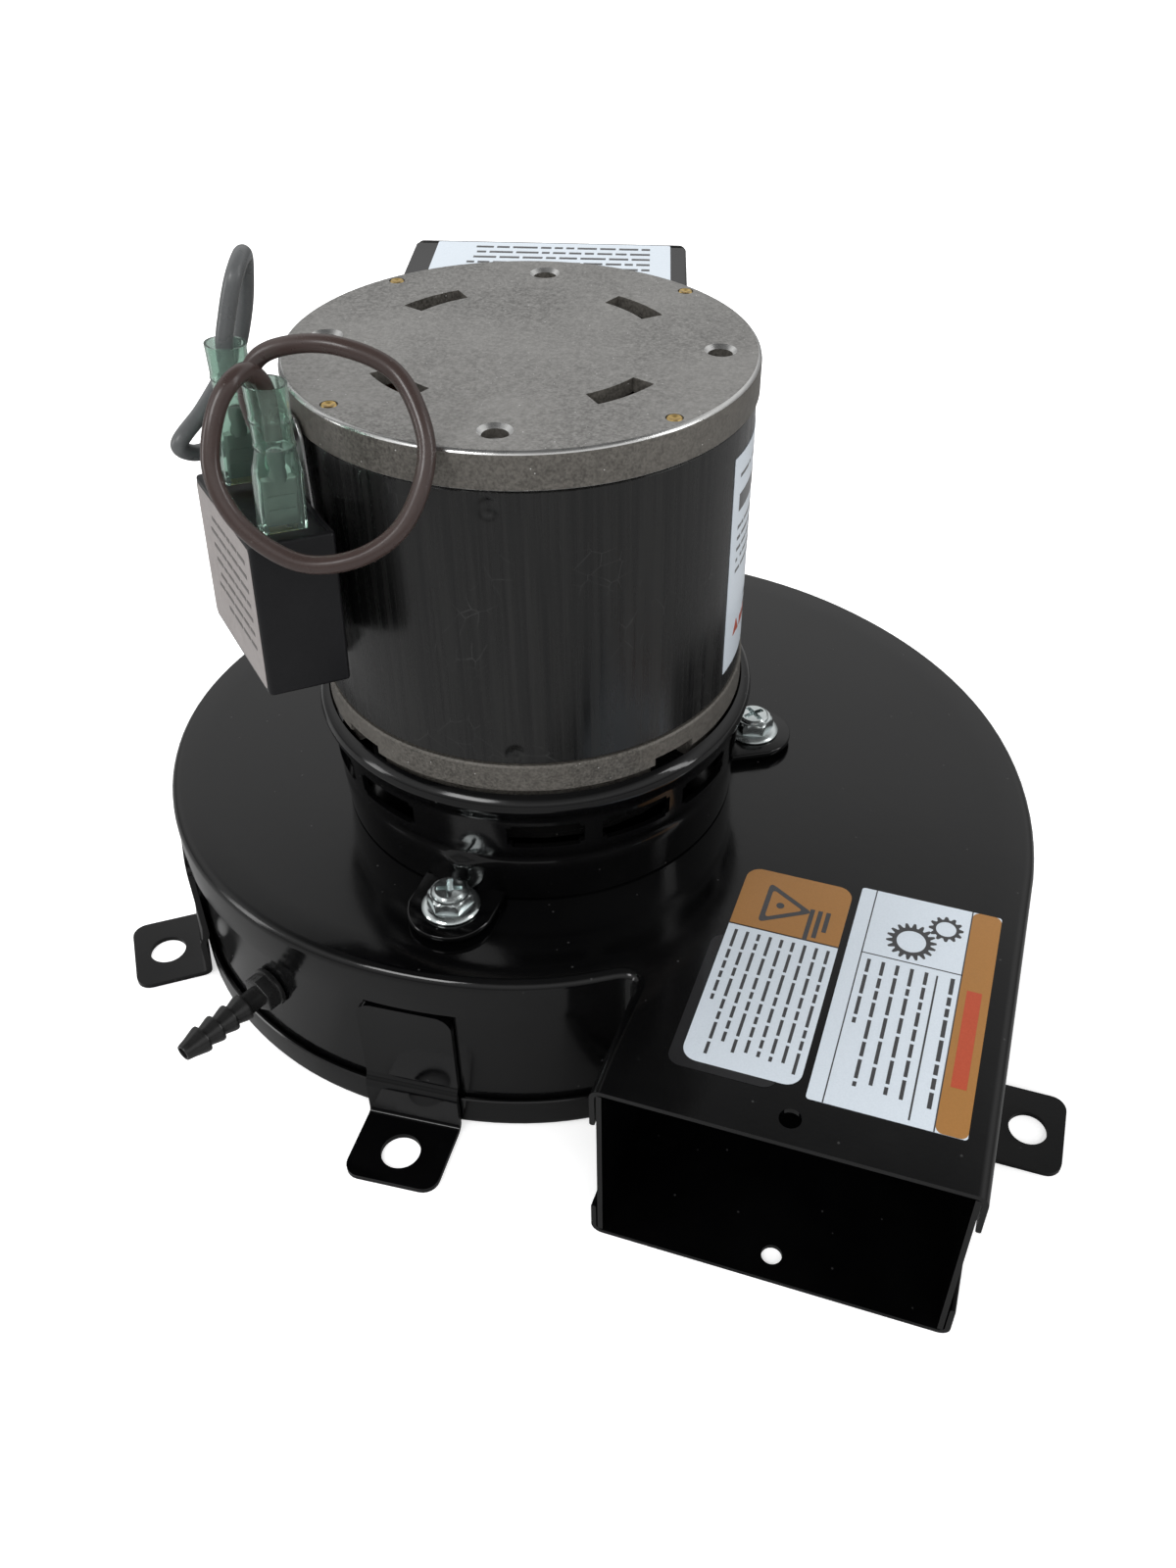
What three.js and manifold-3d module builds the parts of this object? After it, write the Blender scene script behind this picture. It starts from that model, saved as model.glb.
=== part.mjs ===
// Combustion fan: a draft blower for a gas burner. A vertical motor stands on a vented adapter ring
// above a sheet-metal scroll housing, and its shaft turns an impeller inside the scroll.
// Millimetres, +Z up. While the pieces are made the motor axis is the Z axis and the outlet faces -Y.
import * as THREE from "three";
import { mergeVertices } from "three/addons/utils/BufferGeometryUtils.js";
import Module from "manifold-3d";

const wasm = await Module();
wasm.setup();

// ---- Driving dimensions -------------------------------------------------------------------------

const SHEET = 1.0; // housing sheet
const GAP = 0.3; // free space between neighbouring pieces
const RUNNING_GAP = 0.1; // radial room between the shaft and what it turns in
const FIT_GAP = 0.05; // radial room between the shaft and what is pressed on it

const HOUSING_HEIGHT = 44;
const LID_SKIRT = 10;
const PAN_SKIRT = 8.5;
const EDGE_ROUNDING = 2.2;

// Radius of the housing edge, every 30 degrees clockwise, starting beside the tongue.
const SPIRAL_STEP = 30;
const SPIRAL_RADII = [64.3, 66, 71.8, 79.2, 86.1, 89.8, 92.5, 95.4, 101.1, 106.3, 108.5];
const OUTLET_LEFT = 39.4;
const OUTLET_RIGHT = SPIRAL_RADII.at(-1);
const OUTLET_FRONT = -79.7;
const TONGUE_CORNER = 4.5;

const WALL_INSET = SHEET + GAP; // outer face of the scroll wall, inside the skirts
const OUTLET_HOLE = { x: 74, y: -74.6, radius: 2 };
const LID_OPENING = 9; // radius of the hole for the shaft and the impeller hub
const TAP = { azimuth: -121, height: 23, length: 22.5, stubRadius: 2.4, boreRadius: 1.2 };

const INLET_RADIUS = 38;
const IMPELLER_RADIUS = 54;
const IMPELLER_FLOOR = 5.5;
const IMPELLER_TOP = 38;
const BLADE_COUNT = 26;

const SHAFT_RADIUS = 4;
const SHAFT_SIDES = 24;

const SHELL_RADIUS = 42;
const SHIELD_RADIUS = 42.5;
const SPIGOT_RADIUS = SHELL_RADIUS - 1.3;
const ADAPTER_TOP = 72.3;
const SHELL_BOTTOM = 78.6;
const SHELL_TOP = 134.4;
const MOTOR_TOP = 141.2;
const MOTOR_TURN = -75.4; // azimuth of the foremost threaded hole of the top end shield
const QUARTERS = [0, 90, 180, 270];
const THREADED_HOLE = { circle: 35.1, radius: 2.1 };
const PIN = { circle: 39.6, radius: 1.35, length: 4.6 };
const VENT = { inner: 24.2, outer: 28.6, halfAngle: 12.5 };
const BEARING_RADIUS = 7.7;
const BEARING_POCKET = 8;
const STATOR_BOTTOM = 90;
const STATOR_TOP = 116;

const SCREW_CIRCLE = 48.7;
const SCREW_AZIMUTHS = { front: -90, right: 30, left: 150 };
const SCREW_HOLE = 2.6;
const TAB_BOTTOM = 45.1;
const TAB_THICKNESS = 1.4;
const TAB_HALF_WIDTH = 8.6;
const SLOT = { low: 59, high: 64.5, halfAngle: 10, offsets: [23, 47.7, 72.3, 97] }; // degrees from each tab

const FOOT_AZIMUTHS = { left: -152.2, front: -93.1, right: -15.6, back: 100 };
const FOOT_WIDTH = 19.5;
const FOOT_REACH = 18.2;
const FOOT_HOLE = { reach: 10.8, radius: 4 };
const FOOT_SHEET = 1.2;

const CAPACITOR = { width: 35.6, depth: 14.2, height: 27.2, azimuth: -133.3, shift: -4.2, middle: 110.2 };
const CAPACITOR_BACK = SHELL_RADIUS + 2.5; // distance from the motor axis to the capacitor's inner face
const CAPACITOR_ROLL = 5.8; // degrees the capacitor leans along the shell
const CAPACITOR_PITCH = 3.9; // degrees its top leans towards the motor
const TERMINALS = {
  front: { x: -16.2, base: 125.0 },
  rear: { x: 7.1, base: 122.8 },
};
const TERMINAL_REACH = 51; // distance from the motor axis to the foot of each terminal
const BOOT = { bottom: 0.8, sleeve: 10, collar: 14.6, mouth: 24, bend: 2.4 };
const LEAD_RADIUS = 1.45;
const GROMMET = { azimuth: -165, height: 122, holeRadius: 4.6 };

const BOX = { azimuth: 107, width: 60, depth: 32, bottom: 84, top: 134, sheet: 1 };

// Leads from inside the mouth of each boot to the grommet in the motor shell.
const BROWN_ROUTE = [
  [-22.7, -47.2, 140.5],
  [-23.9, -45.6, 148.6],
  [-24.5, -48.4, 151.8],
  [-25, -52.2, 151.6],
  [-26.2, -55.4, 148.2],
  [-26, -59.5, 140.5],
  [-21.5, -61.5, 133.5],
  [-13, -60.5, 128],
  [-5, -57.5, 128.5],
  [0.5, -53, 132],
  [2.5, -47, 138.5],
  [1.5, -43.5, 144],
  [-4.5, -39.5, 151],
  [-13, -40.3, 154.2],
  [-21.5, -40.8, 153.4],
  [-27.5, -40.6, 150.4],
  [-30.8, -40, 145],
  [-31.8, -38.2, 138.5],
  [-32.5, -34, 133],
  [-35, -28.3, 131],
  [-41.3, -23, 130.3],
  [-47, -17, 129],
  [-50.5, -13.6, 126],
  [-48, -12.8, 123.7],
  [-42.3, -11.3, 123.7],
];
const GREY_ROUTE = [
  [-40, -30.9, 139],
  [-40.9, -29.6, 146],
  [-39.9, -28.8, 151],
  [-38, -27.5, 157.5],
  [-39, -22.5, 159.3],
  [-41, -20, 154.5],
  [-43, -19.3, 148],
  [-45.6, -20.3, 140.5],
  [-47.2, -24.5, 136.5],
  [-47.6, -30, 133.8],
  [-49.5, -35.5, 129.8],
  [-49.3, -32.5, 127],
  [-48.5, -26, 125.5],
  [-49, -19.5, 123.5],
  [-50.5, -14.5, 121],
  [-48, -13, 120.3],
  [-42.3, -11.3, 120.3],
];

const MATERIALS = {
  black_paint: { color: 0x0c0c0d, metalness: 0.2, roughness: 0.25 },
  cast_aluminium: { color: 0x8d8b88, metalness: 0.7, roughness: 0.55 },
  steel: { color: 0xb9bcc0, metalness: 0.9, roughness: 0.35 },
  zinc: { color: 0xcfd6da, metalness: 0.95, roughness: 0.25 },
  lamination: { color: 0x55585c, metalness: 0.6, roughness: 0.6 },
  copper: { color: 0xa8572c, metalness: 0.8, roughness: 0.4 },
  brass: { color: 0xb08d4a, metalness: 0.9, roughness: 0.35 },
  black_plastic: { color: 0x17181a, metalness: 0, roughness: 0.5 },
  black_rubber: { color: 0x141414, metalness: 0, roughness: 0.8 },
  seal_fibre: { color: 0xb9b2a2, metalness: 0, roughness: 0.9 },
  boot_vinyl: { color: 0x7fb3a4, metalness: 0, roughness: 0.3 },
  brown_pvc: { color: 0x4c3b33, metalness: 0, roughness: 0.45 },
  grey_pvc: { color: 0x6d7072, metalness: 0, roughness: 0.45 },
};

// ---- Helpers ------------------------------------------------------------------------------------

const fan = new THREE.Group();

function materialNamed(slot) {
  return new THREE.MeshStandardMaterial({ name: slot, ...MATERIALS[slot] });
}

function radians(degrees) {
  return THREE.MathUtils.degToRad(degrees);
}

function polar(radius, azimuth) {
  return new THREE.Vector2(radius * Math.cos(radians(azimuth)), radius * Math.sin(radians(azimuth)));
}

// A closed geometry as a manifold-3d solid with its faces outwards.
function solid(geometry) {
  const bare = geometry.index ? geometry.toNonIndexed() : geometry.clone();
  bare.deleteAttribute("normal");
  bare.deleteAttribute("uv");
  const merged = mergeVertices(bare, 1e-4);
  const corners = merged.index.array;
  const kept = [];
  for (let i = 0; i < corners.length; i += 3) {
    const [a, b, c] = corners.slice(i, i + 3);
    if (a !== b && b !== c && c !== a) {
      kept.push(a, b, c);
    }
  }
  const vertProperties = merged.attributes.position.array;
  const make = (triVerts) => new wasm.Manifold(new wasm.Mesh({ numProp: 3, vertProperties, triVerts }));
  const made = make(new Uint32Array(kept));
  return made.volume() < 0 ? make(new Uint32Array(kept.reverse())) : made;
}

function geometryOf(body) {
  const mesh = body.getMesh();
  const positions = new Float32Array(mesh.numVert * 3);
  for (let i = 0; i < mesh.numVert; i++) {
    const start = i * mesh.numProp;
    positions.set(mesh.vertProperties.subarray(start, start + 3), i * 3);
  }
  const geometry = new THREE.BufferGeometry();
  geometry.setAttribute("position", new THREE.BufferAttribute(positions, 3));
  geometry.setIndex(new THREE.BufferAttribute(new Uint32Array(mesh.triVerts), 1));
  return geometry;
}

function addPiece(name, slot, body) {
  const geometry = geometryOf(body).toNonIndexed();
  geometry.computeVertexNormals();
  const mesh = new THREE.Mesh(geometry, materialNamed(slot));
  mesh.name = name;
  fan.add(mesh);
}

function union(bodies) {
  return bodies.reduce((sum, body) => sum.add(body));
}

function cut(body, tools) {
  return tools.reduce((left, tool) => left.subtract(tool), body);
}

function points(pairs) {
  return pairs.map(([x, y]) => new THREE.Vector2(x, y));
}

// A flat outline raised from one height to another.
function slab(outline, low, high, curveSegments = 3) {
  const shape = outline instanceof THREE.Shape ? outline : new THREE.Shape(outline);
  const depth = high - low;
  const geometry = new THREE.ExtrudeGeometry(shape, { depth, bevelEnabled: false, curveSegments });
  return geometry.translate(0, 0, low);
}

function roundedSlab(outline, low, high, rounding) {
  const geometry = new THREE.ExtrudeGeometry(new THREE.Shape(outline), {
    depth: high - low - 2 * rounding,
    bevelThickness: rounding,
    bevelSize: rounding,
    bevelOffset: -rounding,
    bevelSegments: 2,
  });
  return geometry.translate(0, 0, low + rounding);
}

function block(x, y, z) {
  const geometry = new THREE.BoxGeometry(x[1] - x[0], y[1] - y[0], z[1] - z[0]);
  return geometry.translate((x[0] + x[1]) / 2, (y[0] + y[1]) / 2, (z[0] + z[1]) / 2);
}

function cylinder(radius, low, high, sides = 24) {
  const geometry = new THREE.CylinderGeometry(radius, radius, high - low, sides);
  return geometry.rotateX(Math.PI / 2).translate(0, 0, (low + high) / 2);
}

// A closed profile of [radius, height] points turned about Z.
function turned(profile, sides = 40) {
  const outline = points(profile);
  if (profile[0][0] !== 0) {
    outline.push(outline[0].clone());
  }
  return new THREE.LatheGeometry(outline, sides).rotateX(Math.PI / 2);
}

function ring(inner, outer, low, high, sides) {
  return turned([[inner, low], [outer, low], [outer, high], [inner, high]], sides);
}

// A piece of a ring between two azimuths, its arcs drawn in a number of steps.
function arcSlab(inner, outer, azimuth, halfAngle, low, high, steps = 1) {
  const arc = (radius) => {
    const line = [];
    for (let i = 0; i <= steps; i++) {
      line.push(polar(radius, azimuth - halfAngle + (2 * halfAngle * i) / steps));
    }
    return line;
  };
  return slab([...arc(outer), ...arc(inner).reverse()], low, high);
}

function roundedRectangle(left, right, bottom, top, radius) {
  const shape = new THREE.Shape();
  shape.absarc(right - radius, bottom + radius, radius, -Math.PI / 2, 0, false);
  shape.absarc(right - radius, top - radius, radius, 0, Math.PI / 2, false);
  shape.absarc(left + radius, top - radius, radius, Math.PI / 2, Math.PI, false);
  shape.absarc(left + radius, bottom + radius, radius, Math.PI, 1.5 * Math.PI, false);
  shape.closePath();
  return shape;
}

function circle(x, y, radius, sides) {
  const corners = [];
  for (let i = 0; i < sides; i++) {
    corners.push(polar(radius, (i * 360) / sides).add(new THREE.Vector2(x, y)));
  }
  return new THREE.Path(corners);
}

// Stands a flat shape up, so that its y becomes the height and its thickness runs towards -Y.
function stoodUp(geometry) {
  return geometry.rotateX(Math.PI / 2);
}

// Lays a shape made along +Z down, so that it points along +X.
function laidDown(geometry) {
  return geometry.rotateY(Math.PI / 2);
}

function placed(geometry, point, azimuth, height = 0) {
  return geometry.rotateZ(radians(azimuth)).translate(point.x, point.y, height);
}

// ---- Housing outline ----------------------------------------------------------------------------

// The housing edge seen from above: along the left side of the outlet, round the tongue, round the
// spiral clockwise, and along the right side of the outlet. The inside is always on the right.
function housingEdge() {
  const spiral = new THREE.SplineCurve(
    SPIRAL_RADII.map((radius, i) => new THREE.Vector2((i - 1) * SPIRAL_STEP, radius)),
  );
  const curve = spiral.getPoints(38).map((point) => polar(point.y, -90 - point.x));
  const start = curve[0];
  const back = start.clone().sub(curve[1]).normalize();
  const corner = start.clone().addScaledVector(back, (OUTLET_LEFT - start.x) / back.x);
  const tongue = new THREE.QuadraticBezierCurve(
    corner.clone().add(new THREE.Vector2(0, -TONGUE_CORNER)),
    corner,
    corner.clone().addScaledVector(back, -TONGUE_CORNER),
  );
  return [
    new THREE.Vector2(OUTLET_LEFT, OUTLET_FRONT),
    ...tongue.getPoints(5),
    ...curve,
    new THREE.Vector2(OUTLET_RIGHT, OUTLET_FRONT),
  ];
}

const EDGE = housingEdge();

function rightOf(from, to) {
  const along = to.clone().sub(from).normalize();
  return new THREE.Vector2(along.y, -along.x);
}

// The housing edge moved inwards by a distance.
function inset(distance) {
  return EDGE.map((point, i) => {
    const before = i > 0 ? rightOf(EDGE[i - 1], point) : rightOf(point, EDGE[1]);
    const after = i < EDGE.length - 1 ? rightOf(point, EDGE[i + 1]) : before;
    const side = before.clone().add(after).normalize();
    return point.clone().addScaledVector(side, distance / side.dot(before));
  });
}

// The inset edge closed across the outlet, a little in front of it.
function closedOutline(distance, overhang) {
  const outline = inset(distance);
  outline[0].y -= overhang;
  outline.at(-1).y -= overhang;
  return outline;
}

// Where the housing edge lies at an azimuth, and the azimuth of the direction square to it.
function edgeAt(azimuth) {
  const ray = polar(1, azimuth);
  for (let i = 0; i < EDGE.length - 1; i++) {
    const [from, to] = [EDGE[i], EDGE[i + 1]];
    const start = ray.cross(from);
    const end = ray.cross(to);
    if (start >= 0 && end < 0 && from.dot(ray) > 0) {
      const point = from.clone().lerp(to, start / (start - end));
      const outward = rightOf(from, to).negate();
      return { point, outward, facing: THREE.MathUtils.radToDeg(outward.angle()) };
    }
  }
  throw new Error("no housing edge at azimuth " + azimuth);
}


// ---- Housing ------------------------------------------------------------------------------------

const FAR = 200; // beyond everything

// A pressed pan with a rounded edge and a skirt, open at the outlet: the lid or the bottom.
function pressedPan(closed, open) {
  const up = Math.sign(closed - open);
  const low = Math.min(closed, open - up * 4);
  const high = Math.max(closed, open - up * 4);
  const inside = [closed - up * SHEET, open - up * 8].sort((a, b) => a - b);
  const beyond = [open, open - up * 20].sort((a, b) => a - b);
  const underFlat = [closed - up * (SHEET + 1), open - up * 8].sort((a, b) => a - b);
  const tongue = EDGE[3];
  return cut(solid(roundedSlab(closedOutline(0, 4), low, high, EDGE_ROUNDING)), [
    solid(slab(closedOutline(SHEET, 10), ...inside)),
    solid(block([-FAR, FAR], [-FAR, FAR], beyond)),
    solid(block([-FAR, FAR], [OUTLET_FRONT - 20, OUTLET_FRONT], [-FAR, FAR])),
    solid(cylinder(7, ...underFlat, 16).translate(tongue.x, tongue.y, 0)),
  ]);
}

function outletHole(low, high) {
  return solid(cylinder(OUTLET_HOLE.radius, low, high, 16).translate(OUTLET_HOLE.x, OUTLET_HOLE.y, 0));
}

function screwHole(azimuth) {
  const at = polar(SCREW_CIRCLE, azimuth);
  return solid(cylinder(SCREW_HOLE, HOUSING_HEIGHT - 5, HOUSING_HEIGHT + 5, 16).translate(at.x, at.y, 0));
}

function buildHousing() {
  const lid = cut(pressedPan(HOUSING_HEIGHT, HOUSING_HEIGHT - LID_SKIRT), [
    solid(cylinder(LID_OPENING, HOUSING_HEIGHT - 5, HOUSING_HEIGHT + 5)),
    outletHole(HOUSING_HEIGHT - 5, HOUSING_HEIGHT + 5),
    ...Object.values(SCREW_AZIMUTHS).map(screwHole),
  ]);
  addPiece("housing_lid", "black_paint", lid);

  const inletLip = turned([
    [INLET_RADIUS, 0.4],
    [INLET_RADIUS + 3, 0.2],
    [INLET_RADIUS + 3, SHEET],
    [INLET_RADIUS + 1.4, 1.8],
    [INLET_RADIUS, 4],
    [INLET_RADIUS - 0.4, 8],
    [INLET_RADIUS - 1.3, 8],
    [INLET_RADIUS - 1.1, 4],
  ], 36);
  const bottom = cut(pressedPan(0, PAN_SKIRT), [
    solid(cylinder(INLET_RADIUS + 1, -5, 5, 36)),
    outletHole(-5, 5),
  ]).add(solid(inletLip));
  addPiece("housing_bottom", "black_paint", bottom);

  const wallOutline = [...inset(WALL_INSET), ...inset(WALL_INSET + SHEET).reverse()];
  const tap = edgeAt(TAP.azimuth);
  const tapHole = solid(alongOutward(cylinder(TAP.stubRadius + 0.2, -10, 10, 16), tap, TAP.height));
  const wall = solid(slab(wallOutline, SHEET + GAP, HOUSING_HEIGHT - SHEET - GAP)).subtract(tapHole);
  addPiece("scroll_wall", "black_paint", wall);
}

// Lays a shape made along +Z down so that it points out of the wall, its zero on the wall's face.
function alongOutward(geometry, edge, height) {
  const base = edge.point.clone().addScaledVector(edge.outward, -WALL_INSET);
  return placed(laidDown(geometry), base, edge.facing, height);
}

// The hose barb for the pressure switch, with a hexagon root and four barbs.
function buildPressureTap() {
  const barbs = [];
  const pitch = 3.4;
  for (let i = 0; i < 4; i++) {
    const start = 7.5 + i * pitch;
    barbs.push([2.9, start], [2.1, start + pitch - 0.3]);
  }
  const body = turned(
    [
      [TAP.boreRadius, -3.5],
      [TAP.stubRadius, -3.5],
      [TAP.stubRadius, GAP],
      [4.4, GAP],
      [4.4, 1.4],
      [2.3, 1.4],
      [2.3, 7.5],
      ...barbs,
      [1.7, TAP.length],
      [TAP.boreRadius, TAP.length],
    ],
    12,
  );
  const hexagon = cylinder(4.1, 1, 4, 6);
  const bore = cylinder(TAP.boreRadius, -5, TAP.length + 1, 12);
  const tap = solid(body).add(solid(hexagon)).subtract(solid(bore));
  const laid = alongOutward(geometryOf(tap), edgeAt(TAP.azimuth), TAP.height);
  addPiece("pressure_tap", "black_plastic", solid(laid));
}

// A spot-welded bracket: a leg on the scroll wall, a step over the bottom skirt, and a foot.
// Made with x along the wall, y outwards from the wall's face and z up.
function footBracket() {
  const half = FOOT_WIDTH / 2;
  const skirtFace = WALL_INSET + GAP;
  const stepLow = PAN_SKIRT + 0.8;
  const stepHigh = stepLow + 2;
  const foot = roundedRectangle(-half, half, skirtFace, FOOT_REACH, 3);
  foot.holes.push(circle(0, FOOT_HOLE.reach, FOOT_HOLE.radius, 20));
  const footRoot = block([-half, half], [skirtFace, skirtFace + 4], [0, FOOT_SHEET]);
  const legTop = HOUSING_HEIGHT - LID_SKIRT - 0.6;
  const leg = stoodUp(slab(roundedRectangle(-half, half, stepHigh - 6, legTop, 4), -FOOT_SHEET - GAP, -GAP));
  const below = block([-half - 1, half + 1], [-5, 10], [-5, stepHigh]);
  const sideView = points([
    [skirtFace, 0],
    [skirtFace + FOOT_SHEET, 0],
    [skirtFace + FOOT_SHEET, stepLow],
    [GAP + FOOT_SHEET, stepHigh + 0.4],
    [GAP, stepHigh + 0.4],
    [GAP, stepHigh - 0.3],
    [skirtFace, stepLow - 0.3],
  ]);
  const step = stoodUp(slab(sideView, -half, half)).rotateZ(Math.PI / 2);
  return union([
    solid(slab(foot, 0, FOOT_SHEET)),
    solid(footRoot),
    solid(leg).subtract(solid(below)),
    solid(step),
  ]);
}

function buildFeet() {
  for (const [side, azimuth] of Object.entries(FOOT_AZIMUTHS)) {
    const edge = edgeAt(azimuth);
    const base = edge.point.clone().addScaledVector(edge.outward, -WALL_INSET);
    const bracket = placed(geometryOf(footBracket()), base, edge.facing - 90);
    addPiece("foot_" + side, "black_paint", solid(bracket));
  }
}

// ---- Motor adapter ------------------------------------------------------------------------------

// A flat tab for one screw and the rib above it, pointing along +X.
function adapterTab() {
  const root = SHELL_RADIUS - 0.6;
  const half = TAB_HALF_WIDTH;
  const outline = new THREE.Shape(points([[root, half], [root, -half], [SCREW_CIRCLE + 1.5, -half]]));
  outline.absarc(SCREW_CIRCLE, 0, half, radians(-75), radians(75), false);
  outline.lineTo(SCREW_CIRCLE + 1.5, half);
  outline.lineTo(root, half);
  outline.holes.push(circle(SCREW_CIRCLE, 0, SCREW_HOLE, 14));
  const tab = slab(outline, TAB_BOTTOM, TAB_BOTTOM + TAB_THICKNESS);
  const gusset = points([
    [SHELL_RADIUS - 0.3, TAB_BOTTOM],
    [SHELL_RADIUS + 0.9, TAB_BOTTOM],
    [SHELL_RADIUS + 0.9, TAB_BOTTOM + 9],
    [SHELL_RADIUS - 0.3, TAB_BOTTOM + 12],
  ]);
  return solid(tab).add(solid(stoodUp(slab(gusset, -4.5, 4.5))));
}

function buildAdapter() {
  const bell = turned(
    [
      [41.4, HOUSING_HEIGHT + GAP],
      [42.6, HOUSING_HEIGHT + GAP],
      [43.0, 58],
      [43.2, 66.8],
      [44.4, 67.4],
      [44.9, 69.2],
      [44.5, 71.2],
      [43.4, ADAPTER_TOP],
      [42.2, ADAPTER_TOP - 0.2],
      [41.9, 66.8],
      [41.8, 58],
    ],
    40,
  );
  const tabs = [];
  const slots = [];
  for (const azimuth of Object.values(SCREW_AZIMUTHS)) {
    const turn = radians(azimuth);
    tabs.push(solid(geometryOf(adapterTab()).rotateZ(turn)));
    for (const offset of SLOT.offsets) {
      const { low, high, halfAngle } = SLOT;
      slots.push(solid(arcSlab(SHELL_RADIUS - 4, SHELL_RADIUS + 6, azimuth + offset, halfAngle, low, high)));
    }
  }
  addPiece("motor_adapter", "black_paint", cut(union([solid(bell), ...tabs]), slots));
}

// A washer-faced hexagon screw with a cross recess, its seat at height zero.
function adapterScrew() {
  const body = turned(
    [
      [0, -7],
      [1.6, -7],
      [2.3, -6],
      [2.3, 0],
      [5.6, 0],
      [5.6, 0.6],
      [4.6, 1.2],
      [4.6, 1.5],
      [3.9, 3.9],
      [3.3, 4.5],
      [0, 4.5],
    ],
    14,
  );
  const hexagon = cylinder(4.5, 0.8, 3.9, 6);
  const lengthwise = solid(block([-2.3, 2.3], [-0.55, 0.55], [3, 6]));
  const crosswise = solid(block([-0.55, 0.55], [-2.3, 2.3], [3, 6]));
  return cut(solid(body).add(solid(hexagon)), [lengthwise, crosswise]);
}

function buildAdapterScrews() {
  for (const [side, azimuth] of Object.entries(SCREW_AZIMUTHS)) {
    const seat = TAB_BOTTOM + TAB_THICKNESS + 0.05;
    const screw = placed(geometryOf(adapterScrew()), polar(SCREW_CIRCLE, azimuth), azimuth, seat);
    addPiece("adapter_screw_" + side, "zinc", solid(screw));
  }
}

// ---- Motor --------------------------------------------------------------------------------------

function buildTopShield() {
  const flat = MOTOR_TOP - 4.4;
  const body = turned(
    [
      [0, 137.2],
      [BEARING_POCKET, 137.2],
      [BEARING_POCKET, 126.5],
      [12.5, 126.5],
      [12.5, flat],
      [38.5, flat],
      [38.5, 130],
      [SPIGOT_RADIUS, 130],
      [SPIGOT_RADIUS, SHELL_TOP],
      [SHIELD_RADIUS, SHELL_TOP],
      [SHIELD_RADIUS, MOTOR_TOP - 1.4],
      [SHIELD_RADIUS - 1.4, MOTOR_TOP],
      [0, MOTOR_TOP],
    ],
    36,
  );
  const tools = [];
  for (const quarter of QUARTERS) {
    const above = MOTOR_TOP + 5;
    const hole = polar(THREADED_HOLE.circle, MOTOR_TURN + quarter);
    const diagonal = MOTOR_TURN + 45 + quarter;
    const pin = polar(PIN.circle, diagonal);
    const { inner, outer, halfAngle } = VENT;
    tools.push(solid(cylinder(THREADED_HOLE.radius, 120, above, 16).translate(hole.x, hole.y, 0)));
    tools.push(solid(cylinder(PIN.radius + 0.15, MOTOR_TOP - 5, above, 12).translate(pin.x, pin.y, 0)));
    tools.push(solid(arcSlab(inner, outer, diagonal, halfAngle, 120, above, 3)));
  }
  addPiece("end_shield_top", "cast_aluminium", cut(solid(body), tools));
}

function buildShieldPins() {
  const { circle: reach, radius, length } = PIN;
  for (const [i, quarter] of QUARTERS.entries()) {
    const at = polar(reach, MOTOR_TURN + 45 + quarter);
    const pin = turned(
      [
        [0, MOTOR_TOP - length - 0.1],
        [radius, MOTOR_TOP - length - 0.1],
        [radius, MOTOR_TOP - 0.1],
        [radius - 0.3, MOTOR_TOP + 0.15],
        [0, MOTOR_TOP + 0.15],
      ],
      12,
    );
    addPiece("shield_pin_" + (i + 1), "brass", solid(pin.translate(at.x, at.y, 0)));
  }
}

// Turns a shape made along +Z to point out of the motor where the leads enter it.
function atGrommet(geometry) {
  return placed(laidDown(geometry), new THREE.Vector2(0, 0), GROMMET.azimuth, GROMMET.height);
}

function buildShell() {
  const tube = ring(SHELL_RADIUS - 1, SHELL_RADIUS, SHELL_BOTTOM + GAP, SHELL_TOP - GAP, 36);
  const exit = cylinder(GROMMET.holeRadius + 0.2, SHELL_RADIUS - 8, SHELL_RADIUS + 8, 16);
  addPiece("motor_shell", "black_paint", solid(tube).subtract(solid(atGrommet(exit))));
}

function buildBottomShield() {
  const floor = ADAPTER_TOP - 2.8;
  const body = turned(
    [
      [6, floor],
      [14, floor],
      [14, 73.5],
      [36, 73.5],
      [36, floor],
      [41, floor],
      [41, ADAPTER_TOP + GAP],
      [SHIELD_RADIUS, ADAPTER_TOP + GAP],
      [SHIELD_RADIUS, SHELL_BOTTOM],
      [SPIGOT_RADIUS, SHELL_BOTTOM],
      [SPIGOT_RADIUS, 83],
      [38.5, 83],
      [38.5, 77],
      [12.5, 77],
      [12.5, 84],
      [BEARING_POCKET, 84],
      [BEARING_POCKET, 72],
      [6, 72],
    ],
    36,
  );
  const tools = [];
  for (const quarter of QUARTERS) {
    const azimuth = MOTOR_TURN - 45 + quarter;
    tools.push(solid(arcSlab(34, 46, azimuth, 6.5, 60, 74.6)));
    tools.push(solid(arcSlab(18, 32, azimuth, 24, 60, 90, 3)));
  }
  addPiece("end_shield_bottom", "cast_aluminium", cut(solid(body), tools));
}

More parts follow.
